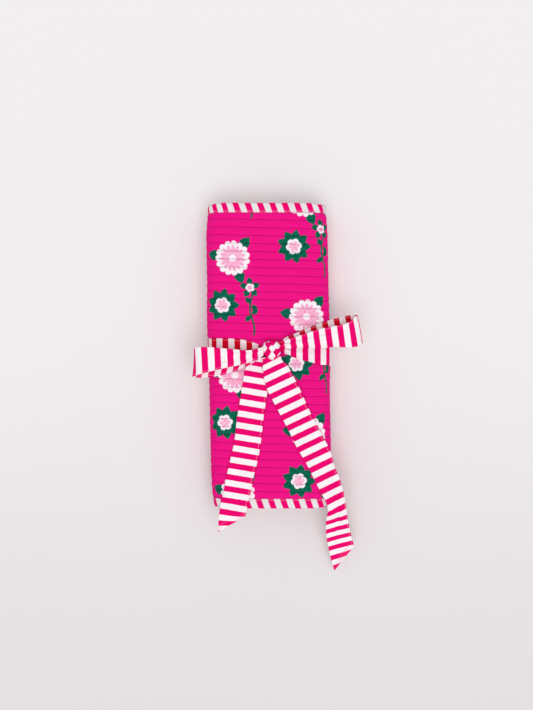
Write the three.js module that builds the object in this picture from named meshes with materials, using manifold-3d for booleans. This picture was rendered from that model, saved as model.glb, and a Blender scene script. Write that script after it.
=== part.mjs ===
// A quilted jewellery roll, folded shut and tied with a striped ribbon in a bow.
// Millimetres, +Z up. The roll lies on its back flap with its length along Y. The origin is the
// middle of the flat underside that it rests on.
import * as THREE from 'three';
import { mergeVertices } from 'three/addons/utils/BufferGeometryUtils.js';
import Module from 'manifold-3d';

const wasm = await Module();
wasm.setup();

// Size of the folded roll.
const rollWidth = 97;
const rollHeight = 34;
const foldRadius = 13;
const flapLift = 8;
const backFlapReach = 40;
const ringFlapLength = 43;

// Quilting. One channel is a quarter of an inch wide.
const channelPitch = 6.3;
const channelCount = 38;
const channelCrown = 1.2;
const footCut = 0.5;
const shellSeamThickness = 0.6;
const battingThickness = 1.3;
const liningThickness = 0.5;
const seatGap = 0.3;
const foldGap = 0.5;

// Binding round the edges of the quilt.
const bindingWidth = 7.6;
const bindingThickness = 0.7;
const bindingRound = 0.25;
const crownRamp = 0.6;

// Zip pockets on the inner faces of the back flap and of the front panel.
const pocketThickness = 0.9;
const pocketInset = 5;
const backZipPlace = 26;
const frontZipPlace = 12;
const tapeWidth = 7.6;
const tapeThickness = 0.6;
const coilWidth = 4;
const coilHeight = 1.2;
const coilChamfer = 0.4;
const zipEndMargin = 8;
const sliderLength = 9;
const sliderPlate = 1.2;
const sliderFlange = 1;
const sliderFlangeDrop = 1.3;
const sliderNose = 2;
const sliderStopRoom = 4;
const bailWidth = 1.4;
const bailPost = 1;
const bailWindow = 3.4;
const bailClear = 0.4;
const bailBar = 0.7;
const pullThickness = 1;
const pullWidth = 5;
const pullLength = 15.5;
const pullEyeWidth = 2.2;
const pullEyeLength = 3.1;

// Padded ring bar and its snap.
const ringBarClear = 3.1;
const ringBarInset = 20.3;
const ringBarCoverThickness = 0.5;
const ringBarSewnEnd = 92;
const ringBarSnapEnd = 84;
const ringBarDome = 2;
const anchorLength = 13;
const strapLength = 19;
const strapWidth = 11;
const strapThickness = 0.8;
const snapRadius = 4.6;
const snapCapRadius = 5.2;
const snapCapHeight = 0.8;
const snapSocketHeight = 0.6;
const snapHoleRadius = 2;
const snapNubRadius = 1.5;
const snapBaseHeight = 0.4;

// Ribbon tie: width, thickness, and where its band crosses the roll.
const ribbonWidth = 21;
const ribbonThickness = 0.9;
const bandPlace = 3.1;
const tuckDrop = 4;
const pleatDepth = 2.4;

// Knot and bow.
const knotLength = 15.6;
const knotBreadth = 14.6;
const knotHeight = 9.2;
const knotPlaceX = 2;
const knotPlaceY = 4;
const loopHeight = 14;
const leftLoopReach = 58.5;
const rightLoopReach = 72.5;
const tailRun = 176;
const bowTurnDegrees = -1.2;
const gatherPlaceY = 6.6;

// Finer or coarser faces.
const foldSteps = 2;
const ribbonFolds = 2;
const ribbonSteps = 6;
const loopSteps = 26;
const tailSteps = 30;
const roundSides = 24;

// Everything below is worked out from the sizes above.
const halfWidth = rollWidth / 2;
const foldCentreX = halfWidth - foldRadius;
const leftFoldRadius = (rollHeight - flapLift) / 2;
const leftFoldCentreX = leftFoldRadius - halfWidth;
const leftFoldCentreZ = rollHeight - leftFoldRadius;
const quiltLength = channelPitch * channelCount;
const halfQuilt = quiltLength / 2;
const shellDepth = channelCrown + shellSeamThickness;
const battingDepth = shellDepth + seatGap;
const liningDepth = battingDepth + battingThickness + seatGap;
const panelDepth = liningDepth + liningThickness;
const bindingSeat = bindingThickness + seatGap;
const bindingInner = halfQuilt - bindingWidth;
const bindingOuter = halfQuilt + seatGap + bindingThickness;
const hingeTurn = Math.PI / 4;
const hingeGapTurn = foldGap / foldRadius / 2;
const leftGapTurn = foldGap / leftFoldRadius / 2;
const ringHingeX = leftFoldCentreX - leftFoldRadius * Math.cos(hingeTurn);
const ringFlapEnd = ringHingeX + ringFlapLength;
const bandLow = bandPlace - ribbonWidth / 2;
const bandHigh = bandPlace + ribbonWidth / 2;

const fabric = { pink: 0xe8087f, lining: 0xf6a9cb, white: 0xf5f1f3, red: 0xb0122b, batting: 0xf4f0e8 };
const metal = 0xd9b565;

// A closed body from its corners and triangles, turned so that every face points out.
function closedBody(corners, triangles) {
  const volume = triangles.reduce((sum, [a, b, c]) => (
    sum + corners[a].dot(new THREE.Vector3().crossVectors(corners[b], corners[c]))), 0);
  const geometry = new THREE.BufferGeometry();
  geometry.setAttribute('position', new THREE.Float32BufferAttribute(corners.flatMap((p) => p.toArray()), 3));
  geometry.setIndex(triangles.flatMap(([a, b, c]) => (volume < 0 ? [a, c, b] : [a, b, c])));
  return geometry;
}

// The triangles of an end face drawn flat, all turned the same way.
function endFace(flatOutline) {
  const turned = THREE.ShapeUtils.area(flatOutline) < 0;
  const triangles = THREE.ShapeUtils.triangulateShape(flatOutline, []);
  return triangles.map(([a, b, c]) => (turned ? [a, b, c] : [a, c, b]));
}

// A body that runs through a row of closed outlines. A flat drawing of its first outline, and of
// its last where that has another shape, gives its two end faces.
function loft(outlines, firstFlat, lastFlat = firstFlat) {
  const count = firstFlat.length;
  const triangles = [];
  for (let row = 0; row < outlines.length - 1; row += 1) {
    for (let k = 0; k < count; k += 1) {
      const next = (k + 1) % count;
      const a = row * count + k;
      const b = row * count + next;
      triangles.push([a, b, b + count], [a, b + count, a + count]);
    }
  }
  const last = (outlines.length - 1) * count;
  triangles.push(...endFace(firstFlat));
  triangles.push(...endFace(lastFlat).map(([a, b, c]) => [last + a, last + c, last + b]));
  return closedBody(outlines.flat(), triangles);
}

function fabricMesh(name, geometry, color) {
  const material = new THREE.MeshStandardMaterial({ color, roughness: 0.85, metalness: 0 });
  const mesh = new THREE.Mesh(geometry, material);
  mesh.name = name;
  return mesh;
}

function metalMesh(name, geometry) {
  const material = new THREE.MeshStandardMaterial({ color: metal, roughness: 0.3, metalness: 1 });
  const mesh = new THREE.Mesh(geometry, material);
  mesh.name = name;
  return mesh;
}

// The quilt's outer line in section. Each place on it has the direction into the quilt, and says
// whether the channels are pressed flat there, under a binding.
function place(x, z, inX, inZ, pressed = false) {
  return { x, z, inX, inZ, pressed };
}

function foldArc(centreX, centreZ, radius, from, to, steps = foldSteps) {
  const places = [];
  for (let k = 0; k <= steps; k += 1) {
    const turn = THREE.MathUtils.lerp(from, to, k / steps);
    const outX = Math.cos(turn);
    const outZ = Math.sin(turn);
    places.push(place(centreX + radius * outX, centreZ + radius * outZ, -outX, -outZ));
  }
  return places;
}

const quarter = Math.PI / 2;

function lowRightArc(from, to) {
  return foldArc(foldCentreX, foldRadius, foldRadius, from, to);
}

function highRightArc(from, to) {
  return foldArc(foldCentreX, rollHeight - foldRadius, foldRadius, from, to);
}

// The left side turns over in one half round, from the front's height to the flap's.
function leftArc(from, to, steps) {
  return foldArc(leftFoldCentreX, leftFoldCentreZ, leftFoldRadius, from, to, steps);
}

function foldedLines() {
  const backStart = -backFlapReach;
  const ringStop = ringFlapEnd;
  return {
    back_flap: [
      place(backStart, 0, 0, 1, true),
      place(backStart + bindingWidth, 0, 0, 1, true),
      place(backStart + bindingWidth + crownRamp, 0, 0, 1),
      ...lowRightArc(-quarter, -hingeTurn - hingeGapTurn),
    ],
    right_fold: [
      ...lowRightArc(hingeGapTurn - hingeTurn, 0),
      ...highRightArc(0, hingeTurn - hingeGapTurn),
    ],
    front_panel: [
      ...highRightArc(hingeTurn + hingeGapTurn, quarter),
      ...leftArc(quarter, quarter + hingeTurn - leftGapTurn),
    ],
    left_fold: leftArc(
      quarter + hingeTurn + leftGapTurn, 3 * quarter - hingeTurn - leftGapTurn, 2 * foldSteps),
    ring_flap: [
      ...leftArc(3 * quarter - hingeTurn + leftGapTurn, 3 * quarter),
      place(ringStop - bindingWidth - crownRamp, flapLift, 0, 1),
      place(ringStop - bindingWidth, flapLift, 0, 1, true),
      place(ringStop, flapLift, 0, 1, true),
    ],
  };
}

const lines = foldedLines();

// A section drawn as [depth, y] pairs and carried along a line.
function carried(line, sectionAt) {
  const outlines = line.map((at, k) => sectionAt(at, k).map(([depth, y]) => (
    new THREE.Vector3(at.x + depth * at.inX, y, at.z + depth * at.inZ))));
  const flats = [0, line.length - 1].map((k) => sectionAt(line[k], k).map(([depth, y]) => (
    new THREE.Vector2(depth, y))));
  return loft(outlines, ...flats);
}

function layer(line, depth, thickness, lowY, highY) {
  const section = [[depth, lowY], [depth, highY], [depth + thickness, highY], [depth + thickness, lowY]];
  return carried(line, () => section);
}

// The quilted face across the channels: seams, crowns, and flat stretches under the bindings and
// under the ribbon band.
function channelProfile(crownShare) {
  const low = bandLow - seatGap;
  const high = bandHigh + seatGap;
  const crownDepth = (y) => {
    const across = ((y + halfQuilt) / channelPitch) % 1;
    const rise = Math.min(across, 1 - across) / crownShare;
    return channelCrown * (1 - Math.min(rise, 1));
  };
  const clearOfBand = (y) => y < low - crownRamp || y > high + crownRamp;
  const quilted = (y) => Math.abs(y) < bindingInner - crownRamp && clearOfBand(y);
  const ramps = [crownRamp - bindingInner, low - crownRamp, high + crownRamp, bindingInner - crownRamp];
  const profile = [
    [-halfQuilt, bindingSeat], [-bindingInner, bindingSeat], [low, channelCrown], [high, channelCrown],
    [bindingInner, bindingSeat], [halfQuilt, bindingSeat], ...ramps.map((y) => [y, crownDepth(y)]),
  ];
  for (let channel = 0; channel < channelCount; channel += 1) {
    for (const share of [0, crownShare, 1 - crownShare]) {
      const y = (channel + share) * channelPitch - halfQuilt;
      if (quilted(y)) profile.push([y, crownDepth(y)]);
    }
  }
  return profile.sort((a, b) => a[0] - b[0]);
}

const crownShare = 1 / 3;
const footShare = crownShare * channelCrown / (channelCrown + footCut);

function quiltedShell(line, share) {
  const profile = channelProfile(share);
  return carried(line, (at) => [
    ...profile.map(([y, depth]) => [at.pressed ? bindingSeat : depth, y]),
    [shellDepth, halfQuilt], [shellDepth, -halfQuilt],
  ]);
}

// The folded strip of binding over one long edge of a panel, seen along the panel's line.
function edgeBinding(line, side) {
  const innerLeg = panelDepth + seatGap;
  const innerFace = innerLeg + bindingThickness;
  const section = [
    [0, bindingInner + seatGap], [0, bindingOuter - bindingRound], [bindingRound, bindingOuter],
    [innerFace - bindingRound, bindingOuter], [innerFace, bindingOuter - bindingRound],
    [innerFace, bindingInner + seatGap], [innerLeg, bindingInner + seatGap],
    [innerLeg, halfQuilt + seatGap], [bindingThickness, halfQuilt + seatGap],
    [bindingThickness, bindingInner + seatGap],
  ];
  return carried(line, () => section.map(([depth, y]) => [depth, side * y]));
}

// The same binding over a flap's free end, between the two edge bindings.
function endBinding(at, outward) {
  const innerLeg = panelDepth + seatGap;
  const innerFace = innerLeg + bindingThickness;
  const web = seatGap + bindingThickness;
  const section = [
    [0, -bindingWidth + seatGap], [0, web - bindingRound], [bindingRound, web],
    [innerFace - bindingRound, web], [innerFace, web - bindingRound], [innerFace, -bindingWidth + seatGap],
    [innerLeg, -bindingWidth + seatGap], [innerLeg, seatGap], [bindingThickness, seatGap],
    [bindingThickness, -bindingWidth + seatGap],
  ];
  const ends = [-bindingInner, bindingInner];
  const outlines = ends.map((y) => section.map(([depth, out]) => (
    new THREE.Vector3(at.x + outward * out, y, at.z + depth * at.inZ))));
  return loft(outlines, section.map(([depth, out]) => new THREE.Vector2(depth, out)));
}

// Lets an edge binding run on past a free end to the outer face of the end binding.
function longerLine(line, atStart, outward) {
  const end = atStart ? line[0] : line[line.length - 1];
  const web = seatGap + bindingThickness;
  const extra = place(end.x + outward * web, end.z, end.inX, end.inZ);
  return atStart ? [extra, ...line] : [...line, extra];
}

function quilt() {
  const group = new THREE.Group();
  for (const [name, line] of Object.entries(lines)) {
    const share = name === 'back_flap' ? footShare : crownShare;
    let edgeLine = line;
    if (name === 'back_flap') edgeLine = longerLine(line, true, -1);
    if (name === 'ring_flap') edgeLine = longerLine(line, false, 1);
    group.add(fabricMesh(`${name}_shell`, quiltedShell(line, share), fabric.pink));
    group.add(fabricMesh(`${name}_batting`,
      layer(line, battingDepth, battingThickness, -halfQuilt, halfQuilt), fabric.batting));
    group.add(fabricMesh(`${name}_lining`,
      layer(line, liningDepth, liningThickness, -halfQuilt, halfQuilt), fabric.lining));
    group.add(fabricMesh(`${name}_binding_top`, edgeBinding(edgeLine, 1), fabric.white));
    group.add(fabricMesh(`${name}_binding_bottom`, edgeBinding(edgeLine, -1), fabric.white));
  }
  const ringLine = lines.ring_flap;
  group.add(fabricMesh('back_flap_end_binding', endBinding(lines.back_flap[0], -1), fabric.white));
  group.add(fabricMesh('ring_flap_end_binding', endBinding(ringLine[ringLine.length - 1], 1), fabric.white));
  return group;
}

// Joins plain solids that overlap into one body.
function joined(geometries) {
  const solids = geometries.map((geometry) => {
    const bare = geometry.index ? geometry.toNonIndexed() : geometry.clone();
    bare.deleteAttribute('normal');
    bare.deleteAttribute('uv');
    const merged = mergeVertices(bare);
    return new wasm.Manifold(new wasm.Mesh({
      numProp: 3,
      vertProperties: Float32Array.from(merged.attributes.position.array),
      triVerts: Uint32Array.from(merged.index.array),
    }));
  });
  const { vertProperties, triVerts } = solids.reduce((whole, solid) => whole.add(solid)).getMesh();
  const geometry = new THREE.BufferGeometry();
  geometry.setAttribute('position', new THREE.BufferAttribute(vertProperties, 3));
  geometry.setIndex(new THREE.BufferAttribute(triVerts, 1));
  return geometry;
}

function boxBetween([lowX, lowY, lowZ], [highX, highY, highZ]) {
  const geometry = new THREE.BoxGeometry(highX - lowX, highY - lowY, highZ - lowZ);
  return geometry.translate((lowX + highX) / 2, (lowY + highY) / 2, (lowZ + highZ) / 2);
}

// Zip pockets. Each is drawn lying face up with its zip along Y at x 0 and the lining face at z 0.
const pocketReach = bindingInner - seatGap;
const tapeFoot = seatGap;
const tapeTop = tapeFoot + tapeThickness;
const coilFoot = tapeTop + seatGap;
const coilTop = coilFoot + coilHeight;
const plateFoot = coilTop + seatGap;
const plateTop = plateFoot + sliderPlate;
const pullPivot = plateTop + bailClear + pullThickness / 2;
const coilReach = pocketReach - zipEndMargin;
const sliderPlace = coilReach - sliderStopRoom - sliderLength / 2;

function zipTape(side) {
  const inner = seatGap * side;
  const outer = side * (seatGap + tapeWidth);
  const low = [Math.min(inner, outer), -pocketReach, tapeFoot];
  return boxBetween(low, [Math.max(inner, outer), pocketReach, tapeTop]);
}

function zipCoil() {
  const half = coilWidth / 2;
  const section = [
    [-half, coilFoot], [half, coilFoot], [half, coilTop - coilChamfer], [half - coilChamfer, coilTop],
    [coilChamfer - half, coilTop], [-half, coilTop - coilChamfer],
  ];
  const outlines = [-coilReach, coilReach].map((y) => section.map(([x, z]) => new THREE.Vector3(x, y, z)));
  return loft(outlines, section.map(([x, z]) => new THREE.Vector2(x, z)));
}

// A plate with two flanges that straddle the coil, and a bail over the pull's crossbar.
function zipSlider() {
  const inner = coilWidth / 2 + seatGap;
  const wide = inner + sliderFlange;
  const halfLength = sliderLength / 2;
  const plan = new THREE.Shape([
    new THREE.Vector2(-wide, -halfLength), new THREE.Vector2(wide, -halfLength),
    new THREE.Vector2(wide, halfLength - sliderNose), new THREE.Vector2(wide - sliderNose, halfLength),
    new THREE.Vector2(sliderNose - wide, halfLength), new THREE.Vector2(-wide, halfLength - sliderNose),
  ]);
  const plate = new THREE.ExtrudeGeometry(plan, { depth: sliderPlate, bevelEnabled: false });
  plate.translate(0, 0, plateFoot);
  const flangeFoot = plateFoot - sliderFlangeDrop;
  const flangeTop = plateFoot + sliderPlate / 2;
  const flangeEnd = halfLength - sliderNose;
  const flanges = [-1, 1].map((side) => boxBetween(
    [Math.min(side * inner, side * wide), -halfLength, flangeFoot],
    [Math.max(side * inner, side * wide), flangeEnd, flangeTop],
  ));
  const barFoot = pullPivot + pullThickness / 2 + bailClear;
  const barTop = barFoot + bailBar;
  const window = bailWindow / 2;
  const posts = [-1, 1].map((side) => boxBetween(
    [-bailWidth / 2, side > 0 ? window : -window - bailPost, plateTop - sliderPlate / 2],
    [bailWidth / 2, side > 0 ? window + bailPost : -window, barTop],
  ));
  const barReach = window + bailPost / 2;
  const bar = boxBetween([-bailWidth / 2, -barReach, barFoot], [bailWidth / 2, barReach, barTop]);
  return joined([plate, ...flanges, ...posts, bar]);
}

// The pull, flat on the slider and pointing along -Y. Its crossbar lies in the bail.
function zipPull() {
  const halfWide = pullWidth / 2;
  const halfThick = pullThickness / 2;
  const outline = new THREE.Shape([
    new THREE.Vector2(-halfWide, halfThick), new THREE.Vector2(-halfWide, halfWide / 2 - pullLength),
    new THREE.Vector2(-halfWide / 2, -pullLength), new THREE.Vector2(halfWide / 2, -pullLength),
    new THREE.Vector2(halfWide, halfWide / 2 - pullLength), new THREE.Vector2(halfWide, halfThick),
  ]);
  const halfEye = pullEyeWidth / 2;
  const eyeEnd = -halfThick - pullEyeLength;
  outline.holes.push(new THREE.Path([
    new THREE.Vector2(-halfEye, -halfThick), new THREE.Vector2(halfEye, -halfThick),
    new THREE.Vector2(halfEye, eyeEnd), new THREE.Vector2(-halfEye, eyeEnd),
  ]));
  const geometry = new THREE.ExtrudeGeometry(outline, { depth: pullThickness, bevelEnabled: false });
  return geometry.translate(0, 0, pullPivot - halfThick);
}

// The pocket's front, sewn down round three sides, from the zip's tape to the panel's far side.
function pocketFront(panelSide, panelWidth) {
  const inner = panelSide * (2 * seatGap + tapeWidth);
  const outer = inner + panelSide * panelWidth;
  return boxBetween([Math.min(inner, outer), -pocketReach, seatGap],
    [Math.max(inner, outer), pocketReach, seatGap + pocketThickness]);
}

function zipPocket(name, panelSide, panelWidth) {
  const group = new THREE.Group();
  group.add(fabricMesh(`${name}_pocket`, pocketFront(panelSide, panelWidth), fabric.lining));
  group.add(fabricMesh(`${name}_zip_tape_left`, zipTape(-1), fabric.pink));
  group.add(fabricMesh(`${name}_zip_tape_right`, zipTape(1), fabric.pink));
  group.add(fabricMesh(`${name}_zip_coil`, zipCoil(), fabric.pink));
  const slider = metalMesh(`${name}_zip_slider`, zipSlider());
  slider.position.y = sliderPlace;
  const pull = metalMesh(`${name}_zip_pull`, zipPull());
  pull.position.y = sliderPlace;
  group.add(slider, pull);
  return group;
}

function pockets() {
  const backFar = backFlapReach - bindingWidth - pocketInset;
  const back = zipPocket('back', -1, backZipPlace + backFar - tapeWidth - 2 * seatGap);
  back.position.set(backZipPlace, 0, panelDepth);
  const frontFar = -leftFoldCentreX - pocketInset / 2;
  const front = zipPocket('front', 1, frontZipPlace + frontFar - tapeWidth - 2 * seatGap);
  front.position.set(frontZipPlace, 0, rollHeight - panelDepth);
  front.rotation.y = Math.PI;
  const group = new THREE.Group();
  group.add(back, front);
  return group;
}

// Ring bar along Y on the ring flap's lining. It is sewn down at one end, and a strap with a snap
// holds the other.
const ringLiningZ = flapLift + panelDepth;
const pocketUnderside = rollHeight - panelDepth - seatGap - pocketThickness;
const ringBarRadius = (pocketUnderside - ringBarClear - ringLiningZ - seatGap) / 2;
const ringBarX = ringFlapEnd - ringBarInset;
const ringBarZ = ringLiningZ + seatGap + ringBarRadius;
const ringCoreRadius = ringBarRadius - ringBarCoverThickness - seatGap;
const strapStart = ringBarSnapEnd + seatGap + strapThickness + seatGap;
const snapBaseTop = ringLiningZ + seatGap + snapBaseHeight;
const socketFoot = snapBaseTop + seatGap;
const socketTop = socketFoot + snapSocketHeight;
const strapFoot = socketTop + seatGap;
const strapTop = strapFoot + strapThickness;
const snapY = strapStart + strapLength - snapCapRadius - seatGap;

function welded(geometry) {
  geometry.deleteAttribute('normal');
  geometry.deleteAttribute('uv');
  const merged = mergeVertices(geometry);
  const points = merged.attributes.position;
  const corners = [];
  for (let k = 0; k < points.count; k += 1) corners.push(new THREE.Vector3().fromBufferAttribute(points, k));
  const order = merged.index.array;
  const triangles = [];
  for (let k = 0; k < order.length; k += 3) triangles.push([order[k], order[k + 1], order[k + 2]]);
  return closedBody(corners, triangles);
}

// A turned body from [radius, height] pairs about its own Y.
function turned(profile) {
  return welded(new THREE.LatheGeometry(profile.map(([r, h]) => new THREE.Vector2(r, h)), roundSides));
}

function ringBarCover() {
  const inner = ringBarRadius - ringBarCoverThickness;
  const sewn = ringBarSewnEnd;
  const dome = sewn - ringBarDome;
  const wall = ringBarCoverThickness;
  return turned([
    [0, sewn], [ringBarRadius - ringBarDome, sewn], [ringBarRadius, dome], [ringBarRadius, -ringBarSnapEnd],
    [inner, -ringBarSnapEnd], [inner, dome - wall], [inner - ringBarDome, sewn - wall], [0, sewn - wall],
  ]);
}

function ringBarCore() {
  const length = ringBarSewnEnd - 2 * ringBarCoverThickness - ringBarDome - seatGap + ringBarSnapEnd;
  const geometry = new THREE.CylinderGeometry(ringCoreRadius, ringCoreRadius, length, roundSides);
  return geometry.translate(0, length / 2 - ringBarSnapEnd, 0);
}

function ringBarEnd() {
  const geometry = new THREE.CylinderGeometry(ringBarRadius, ringBarRadius, strapThickness, roundSides);
  return geometry.translate(0, -ringBarSnapEnd - seatGap - strapThickness / 2, 0);
}

// The fabric tab that sews the bar's closed end to the lining.
function ringBarAnchor() {
  const start = ringBarSewnEnd + seatGap;
  const foot = ringLiningZ + seatGap;
  const half = strapWidth / 2;
  const riser = boxBetween([-half, start, foot], [half, start + strapThickness, ringBarZ]);
  const tab = boxBetween([-half, start, foot], [half, start + anchorLength, foot + strapThickness]);
  return joined([riser, tab]);
}

function snapPieces() {
  const baseFoot = ringLiningZ + seatGap;
  const capFoot = strapTop + seatGap;
  const capTop = capFoot + snapCapHeight;
  return {
    snap_stud: turned([
      [0, baseFoot], [snapRadius, baseFoot], [snapRadius, snapBaseTop], [snapNubRadius, snapBaseTop],
      [snapNubRadius, socketTop], [0, socketTop],
    ]),
    snap_socket: turned([
      [snapHoleRadius, socketFoot], [snapRadius, socketFoot], [snapRadius, socketTop],
      [snapHoleRadius, socketTop], [snapHoleRadius, socketFoot],
    ]),
    snap_cap: turned([
      [0, capFoot], [snapCapRadius, capFoot], [snapCapRadius, capFoot + snapCapHeight / 2],
      [snapCapRadius - snapCapHeight, capTop], [0, capTop],
    ]),
  };
}

function ringBar() {
  const group = new THREE.Group();
  const bar = { ring_bar_cover: ringBarCover(), ring_bar_core: ringBarCore(), ring_bar_end: ringBarEnd() };
  for (const [name, geometry] of Object.entries(bar)) {
    const mesh = fabricMesh(name, geometry, name === 'ring_bar_core' ? fabric.batting : fabric.lining);
    mesh.position.set(ringBarX, 0, ringBarZ);
    group.add(mesh);
  }
  const anchor = fabricMesh('ring_bar_anchor', ringBarAnchor(), fabric.lining);
  anchor.position.x = ringBarX;
  const half = strapWidth / 2;
  const strap = fabricMesh('snap_strap',
    boxBetween([-half, -strapStart - strapLength, strapFoot], [half, -strapStart, strapTop]), fabric.lining);
  strap.position.x = ringBarX;
  group.add(anchor, strap);
  for (const [name, geometry] of Object.entries(snapPieces())) {
    const mesh = metalMesh(name, geometry);
    mesh.rotation.x = quarter;
    mesh.position.set(ringBarX, -snapY, 0);
    group.add(mesh);
  }
  return group;
}

// The ribbon's band round the roll, one stretch for each panel that it crosses. It lies in the
// channels it presses flat, with its outer face level with the crowns.
function bandStretch(line) {
  return layer(line, 0, ribbonThickness, bandLow, bandHigh);
}

// The two stretches across the front gather towards the knot and meet under it. The shares are of
// the knot's length, from its middle: where the gathering starts and where it is done.
const rightGatherShares = [2.1, 0.5];
const leftGatherShares = [1.6, 0.5];
const gatheredShare = 0.25;

function gatheredStretch(fold, side, gatherShares) {
  const inward = gatherShares.map((share) => knotPlaceX + side * share * knotLength);
  inward.push(knotPlaceX + side * seatGap / 2);
  const line = [...fold, ...inward.map((x) => place(x, rollHeight, 0, -1))];
  const half = knotBreadth * gatheredShare;
  return carried(line, (at, k) => {
    const gathered = k > fold.length;
    const low = gathered ? gatherPlaceY - half : bandLow;
    const high = gathered ? gatherPlaceY + half : bandHigh;
    return [[0, low], [0, high], [ribbonThickness, high], [ribbonThickness, low]];
  });
}

// Where the ribbon is sewn in: from under the left fold down to the back flap's bound end.
function tuckStretch() {
  const sewnX = lines.back_flap[0].x - seatGap - bindingThickness - ribbonThickness;
  const down = place(sewnX, tuckDrop / 4, Math.SQRT1_2, Math.SQRT1_2);
  const from = 3 * quarter - hingeTurn + leftGapTurn;
  const line = [...leftArc(from, 3 * quarter - hingeTurn / 2), down];
  return layer(line, -ribbonThickness - seatGap, ribbonThickness, bandLow, bandHigh);
}

function band() {
  const group = new THREE.Group();
  const right = lines.front_panel.slice(0, foldSteps + 1);
  const left = lines.front_panel.slice(foldSteps + 1).reverse();
  const stretches = {
    tie_band_back: bandStretch(lines.back_flap.slice(2)),
    tie_band_right: bandStretch(lines.right_fold),
    tie_band_front_right: gatheredStretch(right, 1, rightGatherShares),
    tie_band_front_left: gatheredStretch(left, -1, leftGatherShares),
    tie_band_left: bandStretch(lines.left_fold),
    tie_tuck: tuckStretch(),
  };
  for (const [name, geometry] of Object.entries(stretches)) {
    group.add(fabricMesh(name, geometry, name === 'tie_band_front_left' ? fabric.red : fabric.white));
  }
  return group;
}

// A free stretch of ribbon between its two edges. Each row of shares gives one edge's x and y, the
// other edge's x and y, and the height over the quilt, as shares of the run and of the loops' height.
// A sixth share is the other edge's own height, where the two edges drop at different places.
function freeRibbon(rowShares, startY, run, steps) {
  const restZ = rollHeight + seatGap + ribbonThickness / 2;
  const point = (x, y, z) => new THREE.Vector3(x * run, startY + y * run, restZ + z * loopHeight);
  const edges = [0, 2].map((first) => new THREE.CatmullRomCurve3(
    rowShares.map((row) => point(row[first], row[first + 1], first ? row[5] ?? row[4] : row[4])),
    false, 'centripetal'));
  const stations = [];
  for (let k = 0; k <= steps; k += 1) stations.push(edges.map((edge) => edge.getPoint(k / steps)));
  const middles = stations.map(([a, b]) => a.clone().add(b).multiplyScalar(0.5));
  const outlines = stations.map(([a, b], k) => {
    const along = middles[Math.min(k + 1, steps)].clone().sub(middles[Math.max(k - 1, 0)]);
    const across = b.clone().sub(a);
    const normal = along.cross(across).normalize();
    const gathered = Math.max(0, 1 - across.length() / ribbonWidth);
    const face = (side) => {
      const points = [];
      for (let j = 0; j <= ribbonSteps; j += 1) {
        const share = j / ribbonSteps;
        const wave = gathered * pleatDepth * Math.sin(share * ribbonFolds * Math.PI) ** 2;
        points.push(a.clone().addScaledVector(across, share)
          .addScaledVector(normal, wave + side * ribbonThickness / 2));
      }
      return points;
    };
    return [...face(1), ...face(-1).reverse()];
  });
  return loft(outlines, ribbonFaceOutline());
}

// The end face of a free ribbon, drawn flat.
function ribbonFaceOutline() {
  const top = [];
  const foot = [];
  for (let j = 0; j <= ribbonSteps; j += 1) {
    top.push(new THREE.Vector2(j, 1));
    foot.unshift(new THREE.Vector2(j, 0));
  }
  return [...top, ...foot];
}

// Each loop leaves the knot low, turns at its far end and comes back above itself.
const leftLoopShares = [
  [-0.118, -0.1, -0.118, 0.1, 0.3], [-0.26, -0.18, -0.26, 0.09, 0.26],
  [-0.45, -0.25, -0.45, 0.07, 0.15], [-0.65, -0.32, -0.65, 0.04, 0.09],
  [-0.85, -0.37, -0.85, 0, 0.1], [-0.965, -0.38, -0.965, -0.03, 0.25],
  [-1.01, -0.37, -1.01, -0.02, 0.55], [-0.965, -0.345, -0.965, 0.01, 0.86],
  [-0.85, -0.31, -0.85, 0.03, 0.97], [-0.65, -0.25, -0.65, 0.03, 0.93],
  [-0.45, -0.2, -0.45, 0.02, 0.8], [-0.26, -0.16, -0.26, 0.01, 0.62],
  [-0.118, -0.09, -0.118, 0.11, 0.56],
];
const rightLoopShares = [
  [0.148, 0.02, 0.148, 0.13, 0.18], [0.2, 0.03, 0.17, 0.17, 0.13], [0.33, 0.05, 0.29, 0.23, 0.1],
  [0.52, 0.06, 0.46, 0.31, 0.09], [0.71, 0.1, 0.65, 0.37, 0.1], [0.88, 0.13, 0.83, 0.41, 0.12],
  [0.965, 0.13, 0.9, 0.415, 0.3], [1.0, 0.125, 0.925, 0.41, 0.55], [0.965, 0.09, 0.9, 0.385, 0.85],
  [0.86, 0.06, 0.83, 0.32, 0.97], [0.7, 0.055, 0.68, 0.29, 0.93], [0.52, 0.035, 0.52, 0.26, 0.84],
  [0.33, 0.0, 0.29, 0.19, 0.68], [0.2, -0.01, 0.17, 0.13, 0.55], [0.148, 0, 0.148, 0.11, 0.5],
];
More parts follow.
